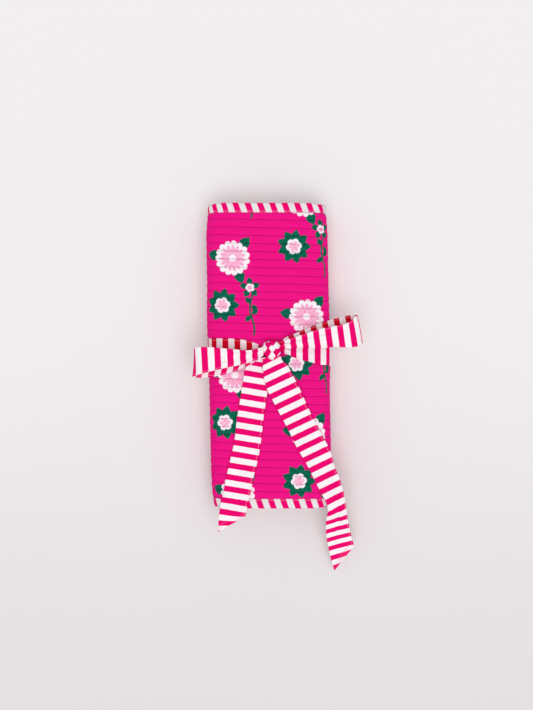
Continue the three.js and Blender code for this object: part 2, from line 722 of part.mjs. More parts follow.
// The tails leave from under the knot, lie down the quilt and droop off its bottom edge.
const leftTailShares = [
  [-0.068, -0.0165, -0.017, -0.025, 0.03], [-0.097, -0.04, -0.0085, -0.054, 0.02],
  [-0.11, -0.071, -0.001, -0.088, 0.02], [-0.117, -0.1165, -0.001, -0.125, 0],
  [-0.128, -0.19, -0.01, -0.182, 0], [-0.144, -0.284, -0.024, -0.273, 0],
  [-0.155, -0.381, -0.034, -0.369, 0], [-0.175, -0.472, -0.047, -0.452, 0],
  [-0.194, -0.557, -0.067, -0.534, 0], [-0.209, -0.6335, -0.082, -0.608, 0],
  [-0.2175, -0.67, -0.092, -0.65, 0], [-0.223, -0.705, -0.1, -0.689, 0],
  [-0.227, -0.747, -0.104, -0.708, -0.1], [-0.2295, -0.79, -0.107, -0.722, -0.25],
];
const rightTailShares = [
  [-0.028, -0.0267, 0.06, -0.0233, 0.24, 0.24], [-0.028, -0.054, 0.081, -0.04, 0.2, 0.2],
  [-0.024, -0.094, 0.102, -0.08, 0.16, 0.16], [-0.011, -0.145, 0.125, -0.122, 0.12, 0.12],
  [0.017, -0.202, 0.145, -0.165, 0.06, 0.06], [0.043, -0.251, 0.166, -0.213, 0.03, 0.03],
  [0.085, -0.33, 0.2, -0.286, 0, 0], [0.124, -0.41, 0.2375, -0.357, 0, 0],
  [0.164, -0.478, 0.273, -0.423, 0, 0], [0.2075, -0.5643, 0.2914, -0.4906, 0, 0],
  [0.2347, -0.6179, 0.3169, -0.5532, 0, 0], [0.2557, -0.6581, 0.3347, -0.6201, 0, 0],
  [0.2624, -0.6916, 0.3455, -0.6858, 0, 0], [0.2595, -0.7151, 0.3497, -0.7121, -0.12, -0.1],
  [0.2559, -0.7449, 0.3558, -0.7415, -0.38, -0.33], [0.2572, -0.7857, 0.3627, -0.7731, -0.72, -0.58],
  [0.2623, -0.8291, 0.3714, -0.8063, -1.09, -0.86], [0.2731, -0.8822, 0.3834, -0.8479, -1.48, -1.18],
  [0.2875, -0.9438, 0.3882, -0.8659, -1.84, -1.33], [0.3042, -0.9983, 0.3898, -0.8752, -2.08, -1.42],
];

// The knot is a short wrap of ribbon pulled tight, so its surface is drawn into slanting folds.
const knotFoldTurns = 1.5;
const knotFoldShare = 0.09;
const knotFlatShare = 0.6;

function knot() {
  const geometry = welded(new THREE.SphereGeometry(1, roundSides, roundSides / 2));
  const points = geometry.attributes.position;
  const point = new THREE.Vector3();
  for (let k = 0; k < points.count; k += 1) {
    point.fromBufferAttribute(points, k);
    const slant = (point.x + point.y) * knotFoldTurns * Math.PI;
    const fold = 1 + knotFoldShare * Math.cos(slant) * (1 - point.z * point.z);
    const flat = Math.max(point.z, -knotFlatShare);
    points.setXYZ(k, point.x * fold * knotLength / 2, point.y * fold * knotBreadth / 2,
      (flat + knotFlatShare) * knotHeight / (1 + knotFlatShare));
  }
  return geometry;
}

function bow() {
  const turned = new THREE.Group();
  const knotMesh = fabricMesh('bow_knot', knot(), fabric.white);
  knotMesh.position.set(knotPlaceX, knotPlaceY, rollHeight + seatGap);
  const leftLoop = freeRibbon(leftLoopShares, bandPlace, leftLoopReach, loopSteps);
  const rightLoop = freeRibbon(rightLoopShares, bandPlace, rightLoopReach, loopSteps);
  turned.add(knotMesh, fabricMesh('bow_loop_left', leftLoop, fabric.white),
    fabricMesh('bow_loop_right', rightLoop, fabric.white));
  turned.rotation.z = THREE.MathUtils.degToRad(bowTurnDegrees);
  const group = new THREE.Group();
  const leftTail = freeRibbon(leftTailShares, 0, tailRun, tailSteps);
  const rightTail = freeRibbon(rightTailShares, 0, tailRun, tailSteps);
  group.add(turned, fabricMesh('bow_tail_left', leftTail, fabric.white),
    fabricMesh('bow_tail_right', rightTail, fabric.white));
  return group;
}

const roll = new THREE.Group();
roll.add(quilt(), pockets(), ringBar(), band(), bow());
export default roll;
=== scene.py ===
"""A quilted jewelry roll, folded shut and tied with a striped ribbon. It dresses the roll's frame."""

import math

import bpy
import numpy as np
from bpy.props import FloatProperty, FloatVectorProperty, IntProperty, PointerProperty
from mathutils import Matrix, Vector


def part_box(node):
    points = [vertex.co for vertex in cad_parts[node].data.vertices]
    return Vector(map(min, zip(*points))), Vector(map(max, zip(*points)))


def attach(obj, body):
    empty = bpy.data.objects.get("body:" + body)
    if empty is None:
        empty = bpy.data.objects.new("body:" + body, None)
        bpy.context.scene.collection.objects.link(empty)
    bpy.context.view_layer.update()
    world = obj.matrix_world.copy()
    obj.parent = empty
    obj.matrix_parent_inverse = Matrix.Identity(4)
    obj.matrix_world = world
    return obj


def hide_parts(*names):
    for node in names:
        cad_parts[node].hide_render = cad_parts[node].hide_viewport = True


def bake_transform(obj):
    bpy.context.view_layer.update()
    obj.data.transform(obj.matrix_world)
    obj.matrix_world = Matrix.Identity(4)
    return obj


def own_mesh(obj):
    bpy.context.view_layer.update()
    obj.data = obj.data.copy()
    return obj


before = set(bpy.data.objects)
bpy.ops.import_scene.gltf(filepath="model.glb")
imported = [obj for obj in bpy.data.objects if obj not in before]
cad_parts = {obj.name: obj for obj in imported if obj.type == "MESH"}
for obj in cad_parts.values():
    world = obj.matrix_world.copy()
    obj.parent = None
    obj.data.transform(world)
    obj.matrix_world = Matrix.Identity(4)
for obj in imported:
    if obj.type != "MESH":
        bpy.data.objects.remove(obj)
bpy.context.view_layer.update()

bl_info = {
    "name": "Jewelry roll",
    "version": (1, 0, 0),
    "blender": (4, 5, 0),
    "location": "3D View > Sidebar > Jewelry roll",
    "description": "Builds a quilted jewelry roll with striped binding and a ribbon tied in a bow",
    "category": "Add Mesh",
}

# The roll's outer line in section, in metres: each stretch's run, and where it goes.
HALF_WIDTH = 0.0485
HEIGHT = 0.034
FOLD_RADIUS = 0.013
FLAP_LIFT = 0.008
BACK_REACH = 0.040
RING_END = -0.001692
FOLD_X = HALF_WIDTH - FOLD_RADIUS
WALL_TOP = HEIGHT - FOLD_RADIUS
QUARTER_RUN = FOLD_RADIUS * math.pi / 2
OUTER_LINE = [
    ("straight", BACK_REACH + FOLD_X, (-BACK_REACH, 0.0, 1.0, 0.0)),
    ("arc", QUARTER_RUN, (FOLD_X, FOLD_RADIUS, -math.pi / 2)),
    ("straight", HEIGHT - 2 * FOLD_RADIUS, (HALF_WIDTH, FOLD_RADIUS, 0.0, 1.0)),
    ("arc", QUARTER_RUN, (FOLD_X, WALL_TOP, 0.0)),
    ("straight", 2 * FOLD_X, (FOLD_X, HEIGHT, -1.0, 0.0)),
    ("arc", 2 * QUARTER_RUN, (-FOLD_X, WALL_TOP, math.pi / 2)),
    ("straight", RING_END + FOLD_X, (-FOLD_X, FLAP_LIFT, 1.0, 0.0)),
]
RUN_STARTS = np.concatenate([[0.0], np.cumsum([length for _, length, _ in OUTER_LINE])])
RUN_END = RUN_STARTS[-1]
RIGHT_WALL = RUN_STARTS[2] + (HEIGHT - 2 * FOLD_RADIUS) / 2
FRONT_LEFT = RUN_STARTS[5]
LEFT_WALL = FRONT_LEFT + QUARTER_RUN
FRONT_MIDDLE = RUN_STARTS[4] + FOLD_X

# Each stretch of cloth bends at one crease, between two bodies of the frame.
SPARE = 0.0024
STRETCHES = {
    "back": (0.0, RIGHT_WALL, "back_flap", "right_fold", (FOLD_X + SPARE, 0.0), (HALF_WIDTH, FOLD_RADIUS - SPARE)),
    "front": (RIGHT_WALL, FRONT_LEFT, "right_fold", "front_panel",
              (HALF_WIDTH, WALL_TOP + SPARE), (FOLD_X + SPARE, HEIGHT)),
    "left": (FRONT_LEFT, LEFT_WALL, "front_panel", "left_fold",
             (-FOLD_X - SPARE, HEIGHT), (-HALF_WIDTH, WALL_TOP + SPARE)),
    "ring": (LEFT_WALL, RUN_END, "left_fold", "ring_flap",
             (-HALF_WIDTH, WALL_TOP - SPARE), (-FOLD_X - SPARE, FLAP_LIFT)),
}
PANELS_OF = {
    "back": ("back_flap",), "front": ("right_fold", "front_panel"), "left": ("left_fold",), "ring": ("ring_flap",),
}

# The cloth, its binding and its ribbon.
HALF_QUILT = 0.1197
PANEL_DEPTH = 0.0042
BINDING_EDGE = 0.1121
BINDING_OUTER = 0.1207
LEAN = 0.0209
END_PULL = 0.0011
WALL_SWELL, BAND_SWELL = 0.0008, 0.0006
SHARP_ANGLE = math.radians(62)
RIBBON_WIDTH = 0.021
RIBBON_REST = 0.03475
RIBBON_HEM = RIBBON_WIDTH - 0.0014
BAND_Y = 0.0031
BOW_TURN = math.radians(-1.2)
KNOT_X, KNOT_Y = 0.002, 0.004
KNOT_RUN = FRONT_MIDDLE - KNOT_X
LOOP_HEIGHT = 0.014


def ease(x):
    """0 below 0, 1 above 1 and a smooth rise between."""
    x = np.clip(x, 0.0, 1.0)
    return x * x * (3 - 2 * x)


def rise(value, start, over):
    """0 up to a start, then a smooth rise to 1 over a distance."""
    return ease((value - start) / over)


def fall(value, end, over):
    """A smooth fall to 0 at an end, over a distance."""
    return ease((end - value) / over)


def bell(value, centre, wide):
    """1 at a centre, dying away smoothly on both sides of it."""
    return np.exp(-((value - centre) / wide) ** 2)


def grid(*parts):
    """Points from their parts, each spread over the others."""
    return np.stack(np.broadcast_arrays(*parts), -1)


def outer_line(run):
    """Places on the roll's outer line: x, z and the direction into the quilt."""
    run = np.asarray(run, float)
    x, z, in_x, in_z = (np.zeros_like(run) for _ in range(4))
    stretch = np.clip(np.searchsorted(RUN_STARTS, run, side="right") - 1, 0, len(OUTER_LINE) - 1)
    for k, (kind, _, data) in enumerate(OUTER_LINE):
        here = stretch == k
        along = run[here] - RUN_STARTS[k]
        if kind == "straight":
            x0, z0, dx, dz = data
            x[here], z[here] = x0 + dx * along, z0 + dz * along
            in_x[here], in_z[here] = -dz, dx
        else:
            centre_x, centre_z, start = data
            turn = start + along / FOLD_RADIUS
            in_x[here], in_z[here] = -np.cos(turn), -np.sin(turn)
            x[here], z[here] = centre_x - FOLD_RADIUS * in_x[here], centre_z - FOLD_RADIUS * in_z[here]
    return x, z, in_x, in_z


def on_roll(run, y, depth):
    """Points at a run along the roll, a place y across it and a depth into it.

    The roll is rolled up a little askew. Its walls swell, and its binding draws its ends in.
    """
    run, y, depth = np.broadcast_arrays(run, y, depth)
    x, z, in_x, in_z = outer_line(run)
    pulled = END_PULL * rise(np.abs(y), 0.092, 0.028) * (1 + 0.7 * ((x < 0) & (y > 0)))
    upper = rise(z, HEIGHT / 2, 0.008)
    swell = WALL_SWELL * rise(y, -0.030, 0.030) + BAND_SWELL * bell(y, 0.005, 0.014)
    full_right = swell * upper - LEAN * np.maximum(-y, 0) * (1 - upper)
    full_left = WALL_SWELL * bell(y, 0.025, 0.025)
    out = np.where(x > 0, full_right, full_left) * rise(np.abs(x), 0.034, 0.0145)
    out = (out - pulled * rise(np.abs(x), 0.028, 0.018)) * np.sign(x)
    return np.stack([x + depth * in_x - LEAN * y + out, y, z + depth * in_z], -1)


def waves(seed, count, shortest, longest):
    """Sets of wave lengths and starts, the same in every run, for puckers and slow swells."""
    rng = np.random.default_rng(seed)
    lengths = shortest * (longest / shortest) ** rng.random((count, 3))
    return 2 * math.pi / lengths, rng.random((count, 3)) * 2 * math.pi, 0.6 + 0.4 * rng.random((count, 3))


def ripple(along, which, table):
    """A smooth uneven wave from 0 to 1 along a seam or channel, a different one for each."""
    numbers, starts, strengths = table
    which = np.asarray(which, int) % len(numbers)
    total = sum(strengths[which, k] * np.sin(along * numbers[which, k] + starts[which, k]) for k in range(3))
    return 0.5 + total / (2 * strengths[which].sum(-1))


SEAM_PUCKERS = waves(11, 40, 0.0034, 0.0075)
CHANNEL_SWELLS = waves(12, 40, 0.011, 0.030)
EDGE_RIPPLES = waves(13, 12, 0.006, 0.016)
RIBBON_RIPPLES = waves(14, 12, 0.012, 0.04)


def lengths_along(line):
    """How far along a line each of its points is, from the first."""
    return np.concatenate([[0.0], np.cumsum(np.linalg.norm(np.diff(line, axis=0), axis=1))])


def directions_along(line):
    """The direction in which a line runs at each of its points."""
    direction = np.gradient(line, axis=0)
    return direction / np.linalg.norm(direction, axis=1)[:, None]


def even_line(line, count):
    """A flat line laid out again with evenly spaced points, and how far along it each of them is."""
    lengths = lengths_along(line)
    places = np.linspace(0, lengths[-1], count)
    return np.stack([np.interp(places, lengths, line[:, k]) for k in (0, 1)], -1), places


def grid_faces(rows, columns):
    """The numbers of a grid's points, and the four points of each of its faces."""
    index = np.arange(rows * columns).reshape(rows, columns)
    quads = np.stack([index[:-1, :-1], index[1:, :-1], index[1:, 1:], index[:-1, 1:]], -1)
    return index, quads.reshape(-1, 4)


def turned_out(points, faces):
    """The faces, turned so that they point out of the body."""
    volume = 0.0
    for face in faces:
        a = points[face[:, 0]]
        for k in range(1, face.shape[1] - 1):
            volume += np.einsum("ij,ij->i", a, np.cross(points[face[:, k]], points[face[:, k + 1]])).sum()
    return [face[:, ::-1] for face in faces] if volume < 0 else faces


def make_piece(name, points, faces, cloth, finishes, finish_of=None):
    """A mesh object from arrays of points and faces, with the cloth's own coordinates kept on it."""
    mesh = bpy.data.meshes.new(name)
    mesh.from_pydata(points.tolist(), [], [row for face in faces for row in face.tolist()])
    layer = mesh.attributes.new("cloth", "FLOAT_VECTOR", "POINT")
    layer.data.foreach_set("vector", np.ascontiguousarray(cloth, np.float32).ravel())
    mesh.shade_smooth()
    for finish in finishes:
        mesh.materials.append(finish)
    if finish_of is not None:
        mesh.polygons.foreach_set("material_index", np.asarray(finish_of, np.int32))
    mesh.validate()
    mesh.set_sharp_from_angle(angle=SHARP_ANGLE)
    piece = bpy.data.objects.new(name, mesh)
    bpy.context.collection.objects.link(piece)
    return piece


def two_faced(name, top, under, cloth, finishes):
    """A closed body between two grids of points. The first finish is for the top, the last for the rest."""
    count = top.shape[0] * top.shape[1]
    index, quads = grid_faces(*top.shape[:2])
    rim = np.concatenate([index[0, :-1], index[:-1, -1], index[-1, :0:-1], index[:0:-1, 0]])
    onward = np.roll(rim, -1)
    sides = np.stack([rim, onward, onward + count, rim + count], -1)
    points = np.concatenate([top.reshape(-1, 3), under.reshape(-1, 3)])
    coordinates = np.tile(cloth.reshape(-1, 3), (2, 1))
    faces = turned_out(points, [quads, quads[:, ::-1] + count, sides])
    finish_of = np.repeat([0, len(finishes) - 1, 0], [len(quads), len(quads), len(sides)])
    return make_piece(name, points, faces, coordinates, finishes, finish_of)


def ringed(name, rings, cloth, finish):
    """A closed body from a row of closed rings of points, with a flat face over each end."""
    count, around = rings.shape[:2]
    index = np.arange(count * around).reshape(count, around)
    onward = np.roll(index, -1, axis=1)
    quads = np.stack([index[:-1], onward[:-1], onward[1:], index[1:]], -1).reshape(-1, 4)
    points = rings.reshape(-1, 3)
    faces = turned_out(points, [quads, index[0][None, ::-1], index[-1][None, :]])
    return make_piece(name, points, faces, cloth.reshape(-1, 3), [finish])


def stand_for(piece, nodes, body=None):
    """Lets a piece stand for its solids, where it has any, and ride on a body where one is given."""
    if nodes:
        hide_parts(*nodes)
    if body:
        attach(piece, body)


def blend_stretch(piece):
    """Bakes a piece's placement into its mesh."""
    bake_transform(piece)


# Materials. Each takes the cloth's own coordinates: along it, across it, and a third that the piece sets.
SPECULAR = 0.04
SEAM_STITCH, HEM_STITCH, HEM_THREAD = 0.0026, 0.0024, 0.0005
TAPE_FOLD, TAPE_RIB = 0.0016, 0.0005
# The colour that multiplies the quilt's seams: painted shade in their grooves.
PAINTED_SEAM_SHADE = [0.44, 0.22, 0.36]
# A stitch thread's pink, and the colour of the painted shadow over a folded hem.
STITCH_PINK, HEM_PAINTED_SHADOW = [0.90, 0.62, 0.72], [0.80, 0.42, 0.50]
REVERSE_WHITE = [0.90, 0.80, 0.83]
BINDING_HEM, BINDING_SLANT = 0.0011, -0.33


def add_node(tree, kind, values, output=0, **settings):
    """Adds a node with its inputs set or linked, and gives what comes out of it."""
    node = tree.nodes.new(kind)
    for name, value in settings.items():
        setattr(node, name, value)
    for place, value in values.items():
        if isinstance(value, Field):
            tree.links.new(value.socket, node.inputs[place])
        else:
            node.inputs[place].default_value = value
    return Field(tree, node.outputs[output])


class Field:
    """A number, vector or colour that a material works out at each point. Sums with it add nodes."""

    def __init__(self, tree, socket):
        self.tree, self.socket = tree, socket

    def node(self, kind, values, output=0, **settings):
        """A node that works on this field."""
        return add_node(self.tree, kind, values, output, **settings)

    def sum(self, kind, *values):
        """One step of arithmetic."""
        return self.node("ShaderNodeMath", dict(enumerate(values)), operation=kind)

    def __add__(self, other):
        return self.sum("ADD", self, other)

    def __sub__(self, other):
        return self.sum("SUBTRACT", self, other)

    def __rsub__(self, other):
        return self.sum("SUBTRACT", other, self)

    def __mul__(self, other):
        return self.sum("MULTIPLY", self, other)

    def __abs__(self):
        return self.sum("ABSOLUTE", self)

    def scaled(self, factor, added):
        """The field times a factor, with something added."""
        return self.sum("MULTIPLY_ADD", self, factor, added)

    def sine(self):
        return self.sum("SINE", self)

    def cosine(self):
        return self.sum("COSINE", self)

    def fraction(self):
        return self.sum("FRACT", self)

    def from_middle(self):
        """How far the fraction is from one half: 0 in the middle of each unit, one half at its ends."""
        return abs(self.fraction() - 0.5)

    def rise(self, low, high):
        """A soft step from 0 at low to 1 at high."""
        return self.node("ShaderNodeMapRange", {"Value": self, "From Min": low, "From Max": high},
                         interpolation_type="SMOOTHSTEP")

    def tint(self, first, second, way="MIX"):
        """A colour between two, by this share. The second one can multiply the first instead."""
        ends = [end if isinstance(end, Field) else (*end[:3], 1.0) for end in (first, second)]
        return self.node("ShaderNodeMix", {0: self, 6: ends[0], 7: ends[1]}, 2, data_type="RGBA", blend_type=way)

    def noise(self, scale, detail=2.0):
        """Soft noise from 0 to 1 over this vector."""
        return self.node("ShaderNodeTexNoise", {"Scale": scale, "Detail": detail, "Vector": self})

    def stretched(self, x, y, z=1.0):
        """This vector with each part multiplied."""
        return self.node("ShaderNodeVectorMath", {0: self, 1: (x, y, z)}, operation="MULTIPLY")

    def parts(self):
        """This vector's three parts."""
        first = self.node("ShaderNodeSeparateXYZ", {0: self})
        return [Field(self.tree, socket) for socket in first.socket.node.outputs]


class Finish:
    """A material in the making, with its shader and the relief laid on it so far."""

    def __init__(self, name, values=()):
        self.material = bpy.data.materials.new(name)
        self.material.use_nodes = True
        self.tree = self.material.node_tree
        self.shader = self.tree.nodes["Principled BSDF"]
        self.relief = None
        for place, value in dict(values).items():
            self.shader.inputs[place].default_value = value

    def link(self, place, field):
        """Gives one of the shader's inputs a field."""
        self.tree.links.new(field.socket, self.shader.inputs[place])

    def own_space(self):
        """The piece's own coordinates."""
        return add_node(self.tree, "ShaderNodeTexCoord", {}, "Object")

    def raise_relief(self, height, distance, strength):
        """Lays a bump over the earlier ones."""
        values = {"Strength": strength, "Distance": distance, "Height": height}
        if self.relief:
            values["Normal"] = self.relief
        self.relief = height.node("ShaderNodeBump", values)
        self.link("Normal", self.relief)


def cloth_finish(name, roughness, sheen=0.005):
    """A cloth's finish and its coordinates: all of them, along, across and the third."""
    made = Finish(name, {"Roughness": roughness, "Sheen Weight": sheen, "Sheen Roughness": 0.5,
                         "Specular IOR Level": SPECULAR})
    cloth = add_node(made.tree, "ShaderNodeAttribute", {}, "Vector", attribute_name="cloth")
    return made, cloth, *cloth.parts()


def darker(colour, share):
    """A colour with each part taken down to a share."""
    return [part * share for part in colour]


def weave(along, across, pitch):
    """Crossing threads of a plain weave, from 0 to 1."""
    turns = 2 * math.pi / pitch
    return ((along * turns).sine() * (across * turns).sine()).scaled(0.5, 0.5)


def channel_seams(run, channel, reach, gap):
    """The quilting's seams: 1 in a seam, and 1 along each of its stitches."""
    in_seam = 1 - (0.5 - channel.from_middle()).rise(0.02, reach)
    return in_seam, 1 - (run * (1 / SEAM_STITCH)).from_middle().rise(gap, 0.44)


def polar(u, v, centre_u, centre_v):
    """Distance and angle round a point of the print."""
    du, dv = u - centre_u, v - centre_v
    return du.sum("SQRT", du.scaled(du, dv * dv)), du.sum("ARCTAN2", dv, du)


def petals(place, count, reach, notch, turn=0.0):
    """1 inside a ring of rounded petals, 0 outside."""
    far, angle = place
    lobes = far.sum("POWER", abs(angle.scaled(count / 2, turn).cosine()), 0.55)
    return (lobes.scaled(reach * notch, reach * (1 - notch)) - far).rise(-0.00015, 0.00015)


def leaves(place, count, start, reach, wide, turn=0.0):
    """1 inside a ring of pointed leaves, 0 outside."""
    far, angle = place
    step = 2 * math.pi / count
    side = (angle.scaled(1 / step, turn).fraction() - 0.5) * step
    share = far.sum("DIVIDE", far * side.cosine() - start, reach - start)
    window = share.rise(0.0, 0.02) * (1 - share.rise(0.98, 1.0))
    inner = share.sum("MINIMUM", share.sum("MAXIMUM", share, 0.0), 1.0)
    inside = (inner * math.pi).sine() * wide - abs(far * side.sine())
    return inside.rise(-0.0001, 0.0002) * window


def printed_cotton(colours, sizes):
    """Hot pink cotton with a scattered print of daisies, blossoms and sprigs, sewn in channels."""
    made, cloth, run, y, channel = cloth_finish("printed_cotton", 0.86)
    pink, white, blush = colours.quilt_pink, colours.bloom_white, colours.bloom_blush
    wide, tall = sizes.print_repeat * 0.62, sizes.print_repeat
    column = (run + 0.013) * (1 / wide)
    odd = column.sum("MODULO", column.sum("FLOOR", column), 2.0)
    row = odd.scaled(0.5, (y + 0.40) * (1 / tall))
    shift = (cloth.noise(900.0, 1.0) - 0.5) * 0.0012
    u = (column.fraction() - 0.5) * wide + shift
    v = (row.fraction() - 0.5) * tall - shift

    strokes = cloth.stretched(500.0, 160.0, 0.0).noise(3.0, 3.0)
    pale_pink = [min(1.0, 1.06 * pink[0]), 0.018 + pink[1], 1.30 * pink[2]]
    ground = cloth.noise(60.0).rise(0.3, 0.7).tint(pink, darker(pink, 0.93))
    ground = cloth.noise(760.0).rise(0.46, 0.72).tint(ground, pale_pink)
    ground = cloth.stretched(1.0, 0.45).noise(640.0).rise(0.52, 0.80).tint(ground, darker(pink, 0.80))
    green = strokes.rise(0.42, 0.62).tint(colours.leaf_green, colours.leaf_shade)

    # A daisy with three leaves.
    daisy = polar(u, v, -0.0005, 0.0148)
    colour = leaves(daisy, 3, 0.0085, 0.0214, 0.0042, 0.42).tint(ground, green)
    colour = petals(daisy, 15, 0.0138, 0.17).tint(colour, white)
    flecks = petals(daisy, 15, 0.0104, 0.45, 0.4) * strokes.rise(0.22, 0.55)
    colour = petals(daisy, 9, 0.0030, 0.25).tint(flecks.tint(colour, blush), white)

    # A leafy stem with a small flower at its top.
    stem_u = (v * 190.0).sine().scaled(0.0016, -0.0150)
    on_stem = 1 - abs(u - stem_u).rise(0.0006, 0.0009)
    colour = (on_stem * (1 - v.rise(-0.0085, -0.0080))).tint(colour, green)
    for place, lean in ((-0.0300, 0.75), (-0.0215, 0.22)):
        colour = leaves(polar(u, v, -0.0146, place), 2, 0.0004, 0.0072, 0.0021, lean).tint(colour, green)
    bud = polar(u, v, -0.0138, -0.0085)
    colour = leaves(bud, 5, 0.0015, 0.0084, 0.0025, 0.3).tint(colour, green)
    colour = petals(bud, 5, 0.0036, 0.3).tint(colour, white)
    colour = petals(bud, 5, 0.0020, 0.3, 0.5).tint(colour, blush)

    # A blossom in a wreath of leaves.
    blossom = polar(u, v, 0.0082, -0.0222)
    colour = leaves(blossom, 9, 0.0030, 0.0136, 0.0034).tint(colour, green)
    colour = petals(blossom, 6, 0.0063, 0.28, 0.5).tint(colour, white)
    heart = petals(blossom, 6, 0.0044, 0.5, 0.5) * strokes.rise(0.30, 0.55)
    colour = heart.tint(colour, blush)

    in_seam, thread = channel_seams(run, channel, 0.075, 0.34)
    # Painted shade in the seams' grooves, a little lighter over the stitches.
    made.link("Base Color", (in_seam * thread.scaled(-0.22, 0.72)).tint(colour, PAINTED_SEAM_SHADE, "MULTIPLY"))
    made.raise_relief(weave(run, y, 0.00042), 0.00005, 0.5)
    made.raise_relief(cloth.stretched(1.0, 0.35, 0.0).noise(420.0, 3.0), 0.00035, 0.6)
    made.raise_relief(in_seam * thread, 0.00020, 0.6)
    return made.material


def plain_cotton(name, pink, channels=True):
    """Plain weave cotton, with the quilting's seams showing through where it is the lining, painted darker there
    as painted shade in their grooves.
    """
    made, cloth, run, y, channel = cloth_finish(name, 0.88, 0.06)
    colour = cloth.noise(90.0, 3.0).rise(0.3, 0.7).tint(pink, darker(pink, 0.90))
    made.raise_relief(weave(run, y, 0.0004), 0.00005, 0.5)
    if channels:
        in_seam, thread = channel_seams(run, channel, 0.07, 0.3)
        # Painted shade along the seams' grooves.
        colour = (in_seam * 0.35).tint(colour, darker(pink, 0.5))
        made.raise_relief(in_seam * thread, 0.0002, 0.6)
    made.raise_relief(cloth.stretched(1.0, 1.0, 0.0).noise(300.0, 3.0), 0.0004, 0.5)
    made.link("Base Color", colour)
    return made.material


def striped_cloth(name, pink, white, pitch, hem, slant=0.0):
    """Cotton with even woven stripes across it, stitched at one edge.

    The third coordinate is 1 over a hem that is folded under, where the white stripes carry a painted shadow of
    the hem in slanting bands.
    """
    made, cloth, along, across, hemmed = cloth_finish(name, 0.84)
    leant = across.scaled(slant, along) + (cloth.noise(260.0) - 0.5) * (pitch * 0.05)
    stripe = 1 - (leant * (1 / pitch)).from_middle().rise(0.25 - 0.016, 0.25 + 0.016)
    uneven = cloth.noise(110.0, 3.0).rise(0.3, 0.75)
    colour = stripe.tint(uneven.tint(white, darker(white, 0.94)), uneven.tint(pink, darker(pink, 0.90)))
    made.raise_relief(weave(along, across, 0.00032), 0.00004, 0.5)
    on_line = 1 - abs(across - hem).rise(HEM_THREAD * 0.3, HEM_THREAD * 0.6)
    stitches = on_line * (1 - (along * (1 / HEM_STITCH)).from_middle().rise(0.30, 0.42))
    colour = (stitches * 0.34).tint(colour, STITCH_PINK)
    made.raise_relief(stitches * -1.0, 0.00012, 0.6)
    # Painted shadow of the folded-under hem: slanting bands that darken the white stripes over it.
    under = across.scaled(520.0, along * 300.0).sine()
    hem_shadow_share = hemmed.rise(0.45, 0.55) * under.rise(-0.2, 0.2)
    made.link("Base Color", (hem_shadow_share * stripe.scaled(-0.30, 0.34)).tint(colour, HEM_PAINTED_SHADOW))
    made.raise_relief(cloth.stretched(1.0, 0.7, 0.0).noise(240.0, 3.0), 0.00045, 0.5)
    return made.material


def zip_tape_cloth(pink):
    """Woven herringbone tape."""
    made, cloth, along, across, _ = cloth_finish("zip_tape", 0.8, 0.1)
    fold = (across * (1 / TAPE_FOLD)).from_middle()
    height = (fold.scaled(TAPE_FOLD, along) * (2 * math.pi / TAPE_RIB)).sine().scaled(0.5, 0.5)
    made.link("Base Color", (height * 0.35).tint(pink, darker(pink, 0.6)))
    made.raise_relief(height, 0.00008, 0.7)
    made.raise_relief(cloth.noise(400.0), 0.0002, 0.4)
    return made.material


def coil_nylon(pink):
    """Satin nylon of the zip's coil."""
    made = Finish("zip_coil")
    grain = made.own_space().noise(900.0)
    made.link("Base Color", grain.tint(pink, darker(pink, 0.8)))
    made.link("Roughness", grain.scaled(0.2, 0.3))
    made.raise_relief(grain, 0.00005, 0.4)
    return made.material


def worn_brass(brass):
    """Polished brass with fine scuffs and a tone that darkens a little at random."""
    made = Finish("brass", {"Metallic": 1.0})
    here = made.own_space()
    scuffs = here.stretched(1.0, 7.0).noise(700.0, 4.0)
    made.link("Base Color", here.noise(160.0, 3.0).rise(0.35, 0.75).tint(brass, darker(brass, 0.82)))
    made.link("Roughness", scuffs.scaled(0.22, 0.14))
    made.raise_relief(scuffs, 0.00003, 0.35)
    return made.material


FINISHES = {}


def finishes(context):
    """The roll's materials, made once from its colours and sizes."""
    if not FINISHES:
        colours, sizes = context.scene.roll_colours, context.scene.roll_sizes
        pink, white = list(colours.stripe_pink), list(colours.stripe_white)
        reverse, lining, zips = (list(c) for c in (colours.reverse_red, colours.lining_pink, colours.zip_pink))
        FINISHES.update(
            printed_cotton=printed_cotton(colours, sizes),
            lining=plain_cotton("lining_cotton", lining),
            facing=plain_cotton("facing_cotton", lining, channels=False),
            # The binding's white is the ribbon's taken down to 0.85: painted shade of the binding's rounded edge.
            binding=striped_cloth("striped_binding", pink, darker(white, 0.85), sizes.binding_stripe,
                                  BINDING_HEM, BINDING_SLANT),
            ribbon=striped_cloth("striped_ribbon", pink, white, sizes.ribbon_stripe, RIBBON_HEM),
            reverse=striped_cloth("ribbon_reverse", reverse, REVERSE_WHITE, sizes.ribbon_stripe, RIBBON_HEM),
            tape=zip_tape_cloth(zips),
            coil=coil_nylon(zips),
            brass=worn_brass(list(colours.brass)),
        )
    return FINISHES


# The quilt. Its face is simulated laid flat and enlarged, and then laid round the roll.
SEAM_SHARES = np.array([0.0, 0.07, 0.22, 0.5, 0.78, 0.93])
PUFF = {}
PUFF_SCALE = 20.0
PUFF_STEPS = 7
PRESSED = 0.00105
END_SEAM = 0.0076


def channel_rows(count):
    """Places across the quilt, in channels from its bottom edge, with more of them at the seams."""
    return np.append((np.arange(count)[:, None] + SEAM_SHARES[None, :]).ravel(), float(count))


def off_middle(channel):
    """0 in the middle of a channel and 1 at its seams."""
    return np.abs(2 * (channel % 1.0) - 1)


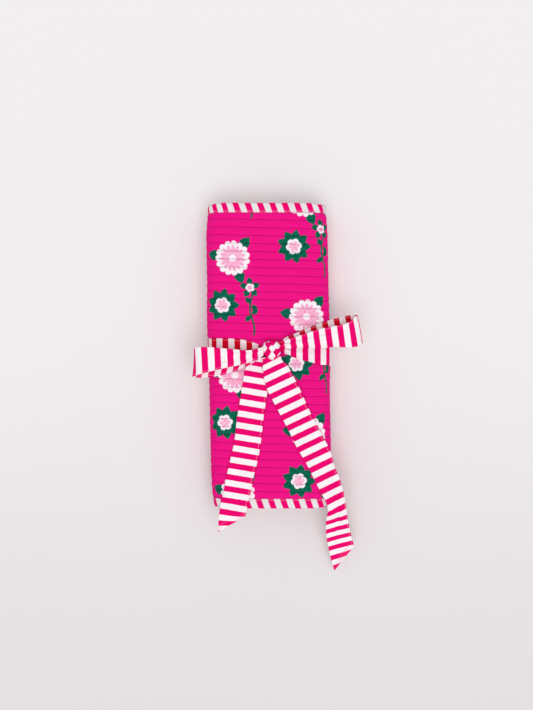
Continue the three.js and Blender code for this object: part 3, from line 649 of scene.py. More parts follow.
def simulated_puff(sizes):
    """Sews the quilt's face down along its channels and lets its wadding push it up.

    The face is a little longer than the seams that hold it, so it puckers between them. It gives the
    height of each point over the seams, by run and by row.
    """
    run = np.arange(0, RUN_END + sizes.quilt_step, sizes.quilt_step)[:, None]
    run, channel = np.broadcast_arrays(run, channel_rows(sizes.channels)[None, :])
    y = channel * (2 * HALF_QUILT / sizes.channels) - HALF_QUILT
    edge = off_middle(channel)
    uneven = np.random.default_rng(5).standard_normal(run.shape) * (edge < 0.99)
    start = grid(run, y, sizes.seam_depth * 0.9 * (1 - edge ** 4) + 0.00008 * uneven) * PUFF_SCALE
    _, quads = grid_faces(*run.shape)
    mesh = bpy.data.meshes.new("quilt_laid_flat")
    mesh.from_pydata(start.reshape(-1, 3).tolist(), [], quads.tolist())
    flat = bpy.data.objects.new("quilt_laid_flat", mesh)
    bpy.context.scene.collection.objects.link(flat)
    flat.vertex_groups.new(name="sewn").add(np.flatnonzero(edge.ravel() > 0.99).tolist(), 1.0, "REPLACE")
    puff = flat.modifiers.new("wadding", "CLOTH")
    settings = puff.settings
    settings.vertex_group_mass = "sewn"
    settings.quality, settings.mass, settings.air_damping = 6, 0.2, 2.0
    settings.tension_stiffness, settings.compression_stiffness, settings.shear_stiffness = 25, 12, 6
    settings.bending_stiffness = 15.0
    settings.shrink_min = -0.025
    settings.use_pressure, settings.uniform_pressure_force = True, 5.0
    settings.effector_weights.gravity = 0.0
    puff.collision_settings.use_collision = False
    puff.point_cache.frame_end = PUFF_STEPS + 1
    for step in range(1, PUFF_STEPS + 1):
        bpy.context.scene.frame_set(step)
    settled = flat.evaluated_get(bpy.context.evaluated_depsgraph_get()).data
    points = np.empty(run.size * 3, np.float32)
    settled.vertices.foreach_get("co", points)
    height = points.reshape(*run.shape, 3)[..., 2].astype(float) / PUFF_SCALE
    bpy.data.objects.remove(flat, do_unlink=True)
    bpy.data.meshes.remove(mesh)
    bpy.context.scene.frame_set(1)
    return run[:, 0], height


def puff_height(run, sizes):
    """How far the quilt's face stands over its seams, for a stretch's grid of points."""
    if not PUFF:
        PUFF["runs"], PUFF["height"] = simulated_puff(sizes)
    rows = enumerate(PUFF["height"].T)
    settled = np.stack([np.interp(run[:, k], PUFF["runs"], row) for k, row in rows], -1)
    usual = np.percentile(PUFF["height"], 97)
    return np.clip(settled, 0, usual) * sizes.seam_depth / usual


def quilt_stretch(name, sizes, materials):
    """One stretch of the quilt: printed cotton outside, lining inside, puffed between the channel seams."""
    begin, end = STRETCHES[name][:2]
    steps = max(8, int(round((end - begin) / sizes.quilt_step)))
    run = np.linspace(begin, end, steps + 1)[:, None]
    channel = channel_rows(sizes.channels)[None, :]
    level = channel * (2 * HALF_QUILT / sizes.channels) - HALF_QUILT
    y = level + LEAN * (run - FRONT_MIDDLE) * fall(np.abs(level), HALF_QUILT, 0.008)
    run, y, channel = np.broadcast_arrays(run, y, channel)

    edge = off_middle(channel)
    at_wall = rise(np.abs(outer_line(run)[0]), 0.040, 0.007)
    under_band = 1 - rise(np.abs(y - BAND_Y), RIBBON_WIDTH / 2 + 0.0002, 0.0014)
    under_binding = rise(np.abs(y), BINDING_EDGE - 0.0004, 0.0009)
    at_ends = 1 - np.minimum(rise(run, END_SEAM, 0.001), fall(run, RUN_END - END_SEAM, 0.001))
    pressed = np.maximum(under_binding, at_ends)
    dip = 0.00003 + (sizes.seam_depth - puff_height(run, sizes)) * (1 - 0.45 * at_wall)
    dip = np.maximum(dip, 0.00112 * under_band) * (1 - pressed) + PRESSED * pressed
    pucker = ripple(run, np.rint(channel), SEAM_PUCKERS) - 0.5
    quilted_in = 0.00055 * edge ** 2.6 + 0.00012 * pucker * edge
    deep = (PANEL_DEPTH - quilted_in) * (1 - pressed) + (PANEL_DEPTH - 0.0001) * pressed

    piece = two_faced(f"quilt_{name}", on_roll(run, y, dip), on_roll(run, y, deep), grid(run, y, channel),
                      [materials["printed_cotton"], materials["lining"]])
    layers = ("shell", "batting", "lining")
    stand_for(piece, [f"{panel}_{layer}" for panel in PANELS_OF[name] for layer in layers])
    blend_stretch(piece)


# The binding: a strip folded over an edge. In section, how deep each point is and how far out.
BINDING_WIDE = BINDING_OUTER - BINDING_EDGE - 0.0003
BINDING_DEEP = PANEL_DEPTH + 0.001
BINDING_TURN = 0.0077
BINDING_OUTSIDE = [
    (0.00045, 0.0005), (0.00022, 0.0008), (0.00026, 0.0015), (0.00012, 0.0022), (0.00004, 0.0036),
    (0.00004, 0.0052), (0.00014, 0.0066), (0.00052, BINDING_TURN), (0.0012, BINDING_WIDE - 0.00012),
    (0.0019, BINDING_WIDE), (BINDING_DEEP - 0.0019, BINDING_WIDE), (BINDING_DEEP - 0.0010, BINDING_WIDE - 0.00012),
    (BINDING_DEEP - 0.00042, BINDING_TURN), (BINDING_DEEP - 0.00002, 0.0066), (BINDING_DEEP + 0.0001, 0.0052),
    (BINDING_DEEP + 0.0001, 0.0036), (BINDING_DEEP, 0.0020), (BINDING_DEEP - 0.00012, 0.0011),
    (BINDING_DEEP - 0.00006, 0.0003), (BINDING_DEEP - 0.00030, 0.0),
]
BINDING_INSIDE = [
    (BINDING_DEEP - 0.0006, 0.0004), (BINDING_DEEP - 0.00068, BINDING_WIDE - 0.0016),
    (BINDING_DEEP - 0.0013, BINDING_WIDE - 0.00078), (0.0013, BINDING_WIDE - 0.00078),
    (0.00068, BINDING_WIDE - 0.0016), (0.0006, 0.0004),
]
BINDING_OUTLINE = np.array(BINDING_OUTSIDE + BINDING_INSIDE)
BINDING_LENGTHS = lengths_along(BINDING_OUTLINE)[None, :]
BINDING_FACE = (np.arange(len(BINDING_OUTLINE)) < len(BINDING_OUTSIDE))[None, :] & (BINDING_OUTLINE[:, 0] < 0.001)
# Where the stripes are: the run of one on the top edge and, counted the other way, on the bottom edge.
TOP_PINK, BOTTOM_PINK = FRONT_MIDDLE - 0.00734, 0.01957 - FRONT_MIDDLE - 0.0014


def edge_binding(name, side, materials):
    """The binding over one long edge of a stretch of the roll."""
    begin, end = STRETCHES[name][:2]
    begin, end = begin - 0.001 * (name == "back"), end + 0.001 * (name == "ring")
    steps = max(8, int(round((end - begin) / 0.0017)))
    run = np.linspace(begin, end, steps + 1)[:, None]
    depth, out = BINDING_OUTLINE.T[:, None, :]
    puff = np.clip(out / BINDING_TURN, 0, 1) * (1 - np.clip(out / 0.0085, 0, 1)) * 4
    swell = ripple(run + 0.4 * out, 3 + (side > 0), EDGE_RIPPLES)
    ruffle = ripple(run, 5 + (side > 0), EDGE_RIPPLES)
    depth = depth + np.where(BINDING_FACE, 0.00020 * swell * puff, 0.0)
    out = out + np.where(out > 0.007, 0.00024 * (ruffle - 0.9), 0.00022 * (swell - 0.5) * (out < 0.001))
    folds = ((RUN_STARTS[1] + QUARTER_RUN / 2, 0.75), (RUN_STARTS[3] + QUARTER_RUN / 2, 0.75),
             (RUN_STARTS[5] + QUARTER_RUN, 1.15))
    bend = sum(bell(run, fold, 0.6 * (QUARTER_RUN * reach)) for fold, reach in folds)
    out = out - 0.0012 * np.clip(bend, 0, 1) * np.clip(out / 0.0083, 0, 1) ** 1.5
    rings = on_roll(run, side * (BINDING_EDGE + 0.0003 + out), depth)
    pink_at = TOP_PINK if side > 0 else BOTTOM_PINK
    along = side * run - pink_at + bpy.context.scene.roll_sizes.binding_stripe / 2
    label = "top" if side > 0 else "bottom"
    piece = ringed(f"binding_{label}_{name}", rings, grid(along, BINDING_LENGTHS, 0.0), materials["binding"])
    stand_for(piece, [f"{panel}_binding_{label}" for panel in PANELS_OF[name]])
    blend_stretch(piece)


def end_binding(body, run_end, outward, materials):
    """The binding over a flap's free end, between the two long ones."""
    y = np.linspace(-BINDING_EDGE, BINDING_EDGE, 133)[:, None]
    depth, out = BINDING_OUTLINE.T[:, None, :]
    swell = ripple(y + 0.4 * out, 8, EDGE_RIPPLES)
    depth = depth + np.where(BINDING_FACE & (out > 0.001) & (out < 0.007), 0.0002 * swell, 0.0)
    rings = on_roll(run_end - outward * 0.0073 + outward * out, y, depth)
    piece = ringed(f"{body}_end_strip", rings, grid(y, BINDING_LENGTHS, 0.0), materials["binding"])
    stand_for(piece, [f"{body}_end_binding"], body)


# The ribbon.
BAND_THICK, TUCK_THICK, BOW_THICK = 0.00075, 0.0007, 0.0008
BAND_SAG = 0.00056
CHANNEL_WIDE = 0.0063


def strip_shares(count):
    """Places across a strip, from 0 to 1, with a close pair at each edge so that it turns crisply."""
    return np.concatenate([[0.0, 0.012], np.linspace(0.055, 0.945, count), [0.988, 1.0]])


def ribbon_body(name, middle, normal, cloth, thickness, finish_pair):
    """A closed ribbon from its middle surface, its normals and its cloth coordinates, thicker at the hems."""
    share = cloth[..., 1:2] / RIBBON_WIDTH
    hem = 1 + 0.35 * (fall(share, 0.10, 0.03) + rise(share, 0.90, 0.03))
    rounded = 1 - 0.55 * (fall(share, 0.006, 0.006) + rise(share, 0.994, 0.006))
    half = thickness / 2 * hem * rounded
    return two_faced(name, middle + normal * half, middle - normal * half, cloth, finish_pair)


def band_stretch(name, begin, end, edges, pink_at, finish):
    """A stretch of the ribbon lying round the roll, drawn together where its edges close in."""
    steps = max(10, int(round(abs(end - begin) / 0.0014)))
    run = np.linspace(begin, end, steps + 1)[:, None]
    share = strip_shares(19)[None, :]
    low, high = edges(run)
    y = low + (high - low) * share
    gathered = np.clip(1 - (high - low) / RIBBON_WIDTH, 0, 1)
    pleats = np.sin(share * 4 * math.pi + 0.6) ** 2 * gathered * 0.0016
    slack = (ripple(run, 2, RIBBON_RIPPLES) - 0.5) * 0.00022
    over_channels = np.cos(2 * math.pi * (y + HALF_QUILT) / CHANNEL_WIDE) * 0.00009
    middle = on_roll(run, y, BAND_SAG - pleats + slack + over_channels)
    _, _, in_x, in_z = outer_line(run)
    along = run - pink_at + bpy.context.scene.roll_sizes.ribbon_stripe / 2
    cloth = grid(along, share * RIBBON_WIDTH, 0.0)
    return ribbon_body(name, middle, grid(-in_x, 0.0, -in_z), cloth, BAND_THICK, [finish])


def plain_edges(run):
    """The band's two edges where it lies flat."""
    return BAND_Y - RIBBON_WIDTH / 2 + 0 * run, BAND_Y + RIBBON_WIDTH / 2 + 0 * run


def gathered_edges(table):
    """The band's edges, which close in towards the knot. Each row gives a place x and the two edges there."""
    places, lows, highs = np.array(sorted(table)).T

    def edges(run):
        x = KNOT_X + KNOT_RUN - run
        return np.interp(x, places, lows), np.interp(x, places, highs)
    return edges


RIGHT_GATHERS = [
    (0.0020, 0.0029, 0.0102), (0.0080, 0.0026, 0.0104), (0.0120, 0.0018, 0.0110), (0.0157, 0.0004, 0.0118),
    (0.0217, -0.0024, 0.0128), (0.0314, -0.0048, 0.0134), (0.0405, -0.0072, 0.0136), (0.0430, -0.0074, 0.0136),
]
LEFT_GATHERS = [
    (0.0020, 0.0029, 0.0062), (-0.0060, 0.0026, 0.0076), (-0.0099, 0.0020, 0.0096), (-0.0138, -0.0010, 0.0111),
    (-0.0200, -0.0050, 0.0126), (-0.0280, -0.0074, 0.0134), (-0.0320, -0.0074, 0.0136),
]


def catmull_rom(points, shares):
    """Points along a smooth line through the given ones, its pace set by their distances."""
    points = np.asarray(points, float)
    last = len(points) - 1
    made = []
    for share in shares:
        at = last * share
        k = min(int(math.floor(at)), last - 1)
        weight = at - k
        p1, p2 = points[k], points[k + 1]
        p0 = points[k - 1] if k > 0 else 2 * points[0] - points[1]
        p3 = points[k + 2] if k + 2 <= last else 2 * points[last] - points[last - 1]
        d0, d1, d2 = (max(float(np.linalg.norm(b - a)) ** 0.5, 1e-6) for a, b in ((p0, p1), (p1, p2), (p2, p3)))
        t1 = ((p1 - p0) / d0 - (p2 - p0) / (d0 + d1) + (p2 - p1) / d1) * d1
        t2 = ((p2 - p1) / d1 - (p3 - p1) / (d1 + d2) + (p3 - p2) / d2) * d1
        c2 = -3 * p1 + 3 * p2 - 2 * t1 - t2
        c3 = 2 * p1 - 2 * p2 + t1 + t2
        made.append(p1 + t1 * weight + c2 * weight ** 2 + c3 * weight ** 3)
    return np.array(made)


# Each row gives one edge's x and y, the other edge's x and y, and the height, all as shares of the piece's
# reach and of the loops' height, and where it differs the other edge's height.
LEFT_LOOP = [
    [-0.05, -0.02, -0.05, 0.04, 0.28], [-0.12, -0.085, -0.12, 0.02, 0.28], [-0.26, -0.185, -0.26, 0.0, 0.26],
    [-0.45, -0.265, -0.45, -0.02, 0.15], [-0.65, -0.335, -0.65, -0.01, 0.09],
    [-0.85, -0.365, -0.85, 0, 0.1], [-0.96, -0.368, -0.95, 0.002, 0.25],
    [-1.005, -0.357, -0.99, 0.012, 0.55], [-0.96, -0.334, -0.95, 0.034, 0.86],
    [-0.85, -0.3, -0.85, 0.045, 0.97], [-0.65, -0.245, -0.65, 0.035, 0.93],
    [-0.45, -0.2, -0.45, 0.02, 0.78], [-0.26, -0.15, -0.26, 0.014, 0.54],
    [-0.12, -0.085, -0.12, 0.05, 0.36], [-0.05, -0.03, -0.05, 0.06, 0.30],
]
RIGHT_LOOP = [
    [0.07, 0.03, 0.07, 0.09, 0.2], [0.128, 0.035, 0.128, 0.12, 0.18], [0.2, 0.05, 0.17, 0.155, 0.13],
    [0.33, 0.06, 0.29, 0.21, 0.1], [0.52, 0.065, 0.46, 0.285, 0.09], [0.71, 0.1, 0.65, 0.355, 0.1],
    [0.88, 0.13, 0.83, 0.405, 0.12], [0.965, 0.13, 0.905, 0.42, 0.3], [1.0, 0.12, 0.935, 0.41, 0.55],
    [0.965, 0.085, 0.9, 0.385, 0.85], [0.86, 0.062, 0.83, 0.325, 0.97], [0.7, 0.064, 0.68, 0.286, 0.93],
    [0.52, 0.042, 0.52, 0.25, 0.84], [0.33, 0.04, 0.3, 0.172, 0.64], [0.2, 0.03, 0.18, 0.132, 0.46],
    [0.128, 0.025, 0.128, 0.11, 0.36], [0.07, 0.02, 0.07, 0.08, 0.30],
]
LEFT_TAIL = [
    [-0.045, -0.004, -0.012, -0.006, 0.05],
    [-0.068, -0.0165, -0.017, -0.025, 0.03], [-0.097, -0.04, -0.0085, -0.054, 0.02],
    [-0.11, -0.071, -0.001, -0.088, 0.02], [-0.117, -0.1165, -0.001, -0.125, 0],
    [-0.128, -0.19, -0.01, -0.182, 0], [-0.144, -0.284, -0.024, -0.273, 0],
    [-0.155, -0.381, -0.034, -0.369, 0], [-0.175, -0.472, -0.047, -0.452, 0],
    [-0.194, -0.557, -0.067, -0.534, 0], [-0.209, -0.6335, -0.082, -0.608, 0],
    [-0.2175, -0.67, -0.092, -0.65, 0], [-0.223, -0.705, -0.1, -0.689, 0],
    [-0.227, -0.747, -0.104, -0.708, -0.1], [-0.2295, -0.79, -0.107, -0.722, -0.25],
]
RIGHT_TAIL = [
    [-0.03, -0.011, 0.05, 0.002, 0.22], [-0.028, -0.0267, 0.06, -0.0233, 0.24],
    [-0.028, -0.054, 0.081, -0.04, 0.2], [-0.024, -0.094, 0.102, -0.08, 0.16],
    [-0.011, -0.145, 0.125, -0.122, 0.12], [0.017, -0.202, 0.145, -0.165, 0.06],
    [0.043, -0.251, 0.166, -0.213, 0.03], [0.085, -0.33, 0.2, -0.286, 0],
    [0.124, -0.41, 0.2375, -0.357, 0], [0.164, -0.478, 0.273, -0.423, 0],
    [0.2075, -0.5643, 0.2914, -0.4906, 0], [0.2347, -0.6179, 0.3169, -0.5532, 0],
    [0.2557, -0.6581, 0.3347, -0.6201, 0], [0.2624, -0.6916, 0.3455, -0.6858, 0],
    [0.2595, -0.7151, 0.3497, -0.7121, -0.12, -0.1], [0.2559, -0.7449, 0.3558, -0.7415, -0.38, -0.33],
    [0.2572, -0.7857, 0.3627, -0.7731, -0.72, -0.58], [0.2623, -0.8291, 0.3714, -0.8063, -1.09, -0.86],
    [0.2731, -0.8822, 0.3834, -0.8479, -1.48, -1.18], [0.2875, -0.9438, 0.3882, -0.8659, -1.84, -1.33],
    [0.3042, -0.9983, 0.3898, -0.8752, -2.08, -1.42],
]
# Each free part's rows, starting y, reach, points along it, where its stripes lie, how much longer its cloth
# is than drawn, and its end's hem. The stripes are square to the ribbon at a share of its length, and one of
# them crosses the first edge at a place: from which share of the length on, which axis, where.
BOW_PARTS = {
    "loop_left": (LEFT_LOOP, BAND_Y, 0.0585, 120, (0.76, 0.6, 0, -0.0483), 1.06, 0.0),
    "loop_right": (RIGHT_LOOP, BAND_Y, 0.0725, 140, (0.70, 0.6, 0, 0.0560), 1.01, 0.0),
    "tail_left": (LEFT_TAIL, 0.0, 0.176, 130, (0.40, 0.1, 1, -0.0133), 0.98, 0.006),
    "tail_right": (RIGHT_TAIL, 0.0, 0.176, 180, (0.45, 0.1, 1, -0.0324), 1.0, 0.006),
}


def free_ribbon(name, seed, finish_pair):
    """A free stretch of ribbon between its two edges, pleated where it is drawn together."""
    rows, start_y, reach, steps, (square_at, from_share, axis, place), longer, hemmed_end = BOW_PARTS[name]
    loop = name.startswith("loop")
    a, b = (
        catmull_rom([(row[first] * reach, start_y + row[first + 1] * reach, RIBBON_REST + row[high] * LOOP_HEIGHT)
                     for row in rows], np.linspace(0, 1, steps + 1))
        for first, high in ((0, 4), (2, -1))
    )
    centre = (a + b) / 2
    direction = directions_along(centre)
    across = b - a
    normal = np.cross(direction, across)
    normal = (normal / np.linalg.norm(normal, axis=1)[:, None])[:, None, :]
    pace, pace_a, pace_b = (lengths_along(line)[:, None] for line in (centre, a, b))
    share = strip_shares(23)[None, :]
    gathered = np.clip(1 - np.linalg.norm(across, axis=1) / RIBBON_WIDTH, 0, 1)[:, None]
    fold = 0.0024 * gathered * np.sin(share * 2 * math.pi) ** 2
    fold = fold + gathered * 0.0006 * np.sin(share * 7 * math.pi + 40 * pace)
    buckle = (ripple(pace + 0.25 * share * RIBBON_WIDTH, seed, RIBBON_RIPPLES) - 0.5) * 0.0007
    height = fold + buckle * ease(pace / 0.01) + 0.00035 * (2 * share - 1) ** 2
    middle = a[:, None, :] + across[:, None, :] * share[..., None] + normal * height[..., None]

    square, first = int(square_at * steps), int(from_share * steps)
    ahead = (a[square] - b[square]) @ direction[square] - pace_a[square] + pace_b[square]
    along_a, along_b = (pace_a + ahead) / longer, pace_b / longer
    station = first + np.argmin(np.abs(a[first:, axis] - place))
    along = along_a * (1 - share) + along_b * share - along_a[station]
    along = along + bpy.context.scene.roll_sizes.ribbon_stripe / 2
    end_line = (b[-1] - a[-1]) / np.linalg.norm(b[-1] - a[-1])
    from_end = np.linalg.norm(np.cross(middle - a[-1], end_line), axis=2)
    hem = fall(from_end, hemmed_end, 0.0008) if hemmed_end else 0.0
    sewn_side = 1 - share if name == "loop_left" else share
    cloth = grid(along, sewn_side * RIBBON_WIDTH, hem)

    turned = BOW_TURN if loop else 0.0
    turn = np.array([[math.cos(turned), -math.sin(turned), 0], [math.sin(turned), math.cos(turned), 0], [0, 0, 1]])
    piece = ribbon_body(name, middle @ turn.T, normal @ turn.T, cloth, BOW_THICK, finish_pair)
    return piece, float(pace[-1, 0])


def bow_piece(piece, node):
    """Lets a piece of the bow stand for its solid and ride on the front panel."""
    stand_for(piece, [node], "front_panel")
    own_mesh(piece)


KNOT_OUTLINE = [
    (0.0088, 0.0080), (0.0064, 0.0108), (0.0004, 0.0114), (-0.0036, 0.0102), (-0.0056, 0.0066), (-0.0044, 0.0022),
    (-0.0010, -0.0012), (0.0028, -0.0036), (0.0054, -0.0030), (0.0078, 0.0004), (0.0098, 0.0042),
]
# Each crease's place along the knot's pull, its bend and its depth.
KNOT_CREASES = [(-0.0006, 0.0010, 0.16), (0.0036, -0.0006, 0.10), (-0.0038, 0.0004, 0.12)]
KNOT_FOOT, KNOT_HEIGHT = 0.03435, 0.0092


def knot_body(materials):
    """The knot: a short wrap of ribbon pulled tight and creased, its stripes shifted at each crease."""
    turn = np.linspace(0, 2 * math.pi, 200, endpoint=False)[None, :]
    level = np.linspace(0, 1, 60)[:, None]
    corners = np.array(KNOT_OUTLINE) - (KNOT_X, KNOT_Y)
    angles = np.unwrap(np.arctan2(corners[:, 1], corners[:, 0]))
    reach = np.linalg.norm(corners, axis=1)
    angles, reach = np.append(angles, angles[0] + 2 * math.pi), np.append(reach, reach[0])
    rim = np.interp((turn - angles[0]) % (2 * math.pi) + angles[0], angles, reach)
    rim = sum(np.roll(rim, k, axis=1) for k in range(-4, 5)) / 9
    low = math.asin(0.6)
    lift = -low + (math.pi / 2 + low) * level
    flat = np.clip(np.cos(lift), 0, 1) ** 0.6
    up = np.sign(np.sin(lift)) * np.abs(np.sin(lift)) ** 0.85
    px, py = rim * flat * np.cos(turn), rim * flat * np.sin(turn)
    across, along = 0.82 * px - 0.57 * py, 0.57 * px + 0.82 * py
    sunk = sum(depth * bell(along - place - bend * np.sin(across * 420), 0.0, 0.00055)
               for place, bend, depth in KNOT_CREASES)
    height = (up + 0.63) / 1.63 * KNOT_HEIGHT * (1 - sunk)
    pinch = 1 - 0.5 * sunk
    shift = 0.0034 / (1 + np.exp((along + 0.0006 + 0.16 * across) / 0.00022))
    shift = shift + 0.0018 / (1 + np.exp((0.0036 - along) / 0.00022))
    cloth = grid((across - shift) * 1.05 + 0.0006, 0.0105 + 0.5 * along, 0.0)
    rings = grid(KNOT_X + px * pinch, KNOT_Y + py * pinch, KNOT_FOOT + height)
    return ringed("knot_wrap", rings, cloth, materials["ribbon"])


# The pockets, their zips and the ring bar.
POCKET_REACH = BINDING_EDGE - 0.0006
COIL_PITCH, COIL_WIRE = 0.0016, 0.00026


def middle_of(low, high, axis):
    """The middle of a box along one axis."""
    return (low[axis] + high[axis]) / 2


def pocket_front(side, body, inward, materials):
    """A pocket's front: plain cotton, hemmed along the zip and sewn down at its other sides."""
    low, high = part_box(f"{side}_pocket")
    x = np.linspace(low[0], high[0], 30)[None, :]
    y = np.linspace(-POCKET_REACH, POCKET_REACH, 150)[:, None]
    x, y = np.broadcast_arrays(x, y)
    edge = np.minimum.reduce([np.abs(x - low[0]), np.abs(high[0] - x), POCKET_REACH - np.abs(y)])
    wrinkle = 0.5 + 0.5 * np.sin(y * 520 + 3 * np.sin(x * 260)) * np.sin(y * 130 + x * 90)
    stitch = rise(edge, 0.0016, 0.0005) * (1 - rise(edge, 0.0024, 0.0005))
    half = (high[2] - low[2]) / 2 * (0.72 + 0.28 * ease(edge / 0.0012)) - 0.00012 * stitch
    middle = middle_of(low, high, 2) + inward * (0.0003 * ease(edge / 0.009) * wrinkle)
    top, under = (grid(x, y, middle + way * half) for way in (inward, -inward))
    piece = two_faced(f"{side}_pocket_front", top, under, grid(x, y, 0.0), [materials["facing"]])
    stand_for(piece, [f"{side}_pocket"], body)


def zip_tape(node, body, materials):
    """One side of a zip's tape, woven, with a rolled edge at the coil."""
    low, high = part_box(node)
    x = np.linspace(low[0], high[0], 14)[None, :]
    y = np.linspace(low[1], high[1], 120)[:, None]
    x, y = np.broadcast_arrays(x, y)
    edge = np.minimum(x - low[0], high[0] - x)
    thick = (high[2] - low[2]) / 2 * (0.7 + 0.3 * (1 - rise(edge, 0.0006, 0.0006)))
    middle = middle_of(low, high, 2) + 0.00006 * np.sin(y * 300 + x * 500)
    piece = two_faced(f"{node}_cloth", grid(x, y, middle + thick), grid(x, y, middle - thick), grid(y, x, 0.0),
                      [materials["tape"]])
    stand_for(piece, [node], body)


def round_wire(line, radius, sides):
    """Rings of points round a line in space."""
    direction = directions_along(line)
    aside = np.cross(direction, [0.0, 1.0, 0.0])
    aside /= np.maximum(np.linalg.norm(aside, axis=1)[:, None], 1e-9)
    upward = np.cross(direction, aside)
    turn = np.linspace(0, 2 * math.pi, sides, endpoint=False)[None, :, None]
    return line[:, None, :] + radius * (np.cos(turn) * aside[:, None, :] + np.sin(turn) * upward[:, None, :])


def zip_coil(node, body, materials):
    """The zip's coil: two nylon spirals side by side, closed into each other."""
    low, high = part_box(node)
    turns = int((high[1] - low[1]) / COIL_PITCH)
    angle = np.linspace(0, turns * 2 * math.pi, turns * 9 + 1)
    for side, label, ahead in ((-1, "", 0.0), (1, "_other", 0.5 * COIL_PITCH * 0.9)):
        x = middle_of(low, high, 0) + side * 0.00068 + 0.00098 * np.cos(angle)
        z = middle_of(low, high, 2) + (0.5 * (high[2] - low[2]) - COIL_WIRE) * np.sin(angle)
        y = low[1] + 0.0002 + angle / (2 * math.pi) * COIL_PITCH * 0.998 + ahead
        rings = round_wire(grid(x, y, z), COIL_WIRE, 5)
        spiral = ringed(f"{node}_spiral{label}", rings, 0 * rings, materials["coil"])
        stand_for(spiral, [] if label else [node], body)


def ring_bar_pad(materials):
    """The stuffed ring bar: a fabric tube swelled by its stuffing, gathered at one end and capped at the other."""
    low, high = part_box("ring_bar_cover")
    foot_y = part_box("ring_bar_end")[0][1]
    radius = (high[0] - low[0]) / 2
    dome_reach = 0.0035
    top = high[1] - dome_reach
    y = np.concatenate([[foot_y + 0.00002], np.linspace(foot_y + 0.0004, top, 120),
                        top + np.array([0.0009, 0.0018, 0.0026, 0.0032, 0.00348])])[:, None]
    from_top = high[1] - y
    dome = np.sqrt(np.clip(1 - np.clip(1 - from_top / dome_reach, 0, 1) ** 2, 0.02, 1))
    foot = 0.86 + 0.14 * rise(y, foot_y, 0.0012)
    turn = np.linspace(0, 2 * math.pi, 72, endpoint=False)[None, :]
    swell = ripple(y + 0.002 * np.sin(3 * turn), 1, RIBBON_RIPPLES)
    seam = bell(np.mod(turn - 0.9 + math.pi, 2 * math.pi) - math.pi, 0.0, 0.09)
    pucker = 0.5 + 0.5 * np.sin(y * 1500)
    gather = np.sin(turn * 14) * 0.03 * fall(from_top, 0.006, 0.004)
    cap = bell(y - foot_y - 0.0013, 0.0, 0.00035)
    uneven = 0.985 - 0.02 * swell + gather - 0.035 * seam * (0.6 + 0.4 * pucker) - 0.03 * cap
    r = radius * dome * foot * uneven
    rings = grid(middle_of(low, high, 0) + r * np.cos(turn), y, middle_of(low, high, 2) + r * np.sin(turn))
    piece = ringed("ring_bar_pad", rings, grid(y, radius * turn, 0.0), materials["facing"])
    stand_for(piece, ["ring_bar_cover", "ring_bar_core", "ring_bar_end"], "ring_flap")


def stitched_tab(name, node, body, line, wide, centre_x, thickness, materials):
    """A flat cotton tab that follows a line in the roll's length and height, with stitched edges."""
    path, _ = even_line(np.asarray(line, float), 46)
    along, up = path[:, 0:1], path[:, 1:2]
    direction = directions_along(path)
    across = strip_shares(13)[None, :]
    edge = np.minimum(across, 1 - across) * wide
    quilted = 0.00008 * (rise(edge, 0.0012, 0.0003) - rise(edge, 0.0018, 0.0003))
    half = thickness / 2 * (0.75 + 0.25 * ease(edge / 0.0004)) - quilted
    x, lean_y, lean_z = centre_x + wide * (across - 0.5), -half * direction[:, 1:2], half * direction[:, 0:1]
    faces = [grid(x, along + side * lean_y, up + side * lean_z) for side in (1, -1)]
    cloth = grid(lengths_along(path)[:, None], across * wide, 0.0)
    stand_for(two_faced(name, *faces, cloth, [materials["facing"]]), [node], body)


def size_property(name, description, default, low, high):
    """A length that a user can change."""
    return FloatProperty(name=name, description=description, default=default, min=low, max=high,
                         subtype="DISTANCE", unit="LENGTH")


def colour_property(name, description, default):
    """A colour that a user can change."""
    return FloatVectorProperty(name=name, description=description, default=default, size=3, min=0, max=1,
                               subtype="COLOR")


class RollSizes(bpy.types.PropertyGroup):
    """Sizes of the cloth's detail."""

    channels: IntProperty(name="Channels", description="Quilted channels down the roll", default=38, min=8, max=80)
    seam_depth: size_property("Seam depth", "How deep the channel seams pull in", 0.00078, 0, 0.002)
    pucker_depth: size_property("Pucker depth", "Height of the small puckers along the seams", 0.00042, 0, 0.001)
    quilt_step: size_property("Quilt fineness", "Distance between the quilt's points along the roll",
                              0.0016, 0.0008, 0.006)
    print_repeat: size_property("Print repeat", "Height of the print's repeat", 0.0924, 0.03, 0.2)
    ribbon_stripe: size_property("Ribbon stripe", "One pink and one white stripe of the ribbon",
                                 0.0094, 0.003, 0.03)
    binding_stripe: size_property("Binding stripe", "One pink and one white stripe of the binding",
                                  0.0097, 0.003, 0.03)


class RollColours(bpy.types.PropertyGroup):
    """Colours of the roll's cloth and metal."""

    quilt_pink: colour_property("Quilt pink", "Ground colour of the printed cotton", (0.85, 0.003, 0.225))
    bloom_white: colour_property("Bloom white", "White of the printed flowers", (0.90, 0.84, 0.88))
    bloom_blush: colour_property("Bloom blush", "Pale pink in the printed flowers", (0.90, 0.34, 0.56))
    leaf_green: colour_property("Leaf green", "Green of the printed leaves", (0.003, 0.150, 0.088))
    leaf_shade: colour_property("Leaf shade", "Darker green of the printed leaves", (0.002, 0.085, 0.050))
    stripe_pink: colour_property("Stripe pink", "Pink of the binding and ribbon", (0.84, 0.001, 0.160))
    stripe_white: colour_property("Stripe white", "White of the binding and ribbon", (0.92, 0.88, 0.90))
    reverse_red: colour_property("Reverse red", "Red on the ribbon's reverse", (0.62, 0.001, 0.018))
    lining_pink: colour_property("Lining pink", "Plain lining cotton", (0.86, 0.38, 0.55))
    zip_pink: colour_property("Zip pink", "Zip tapes and coils", (0.78, 0.02, 0.25))
    brass: colour_property("Brass", "Zip sliders, pulls and snap", (0.83, 0.66, 0.36))
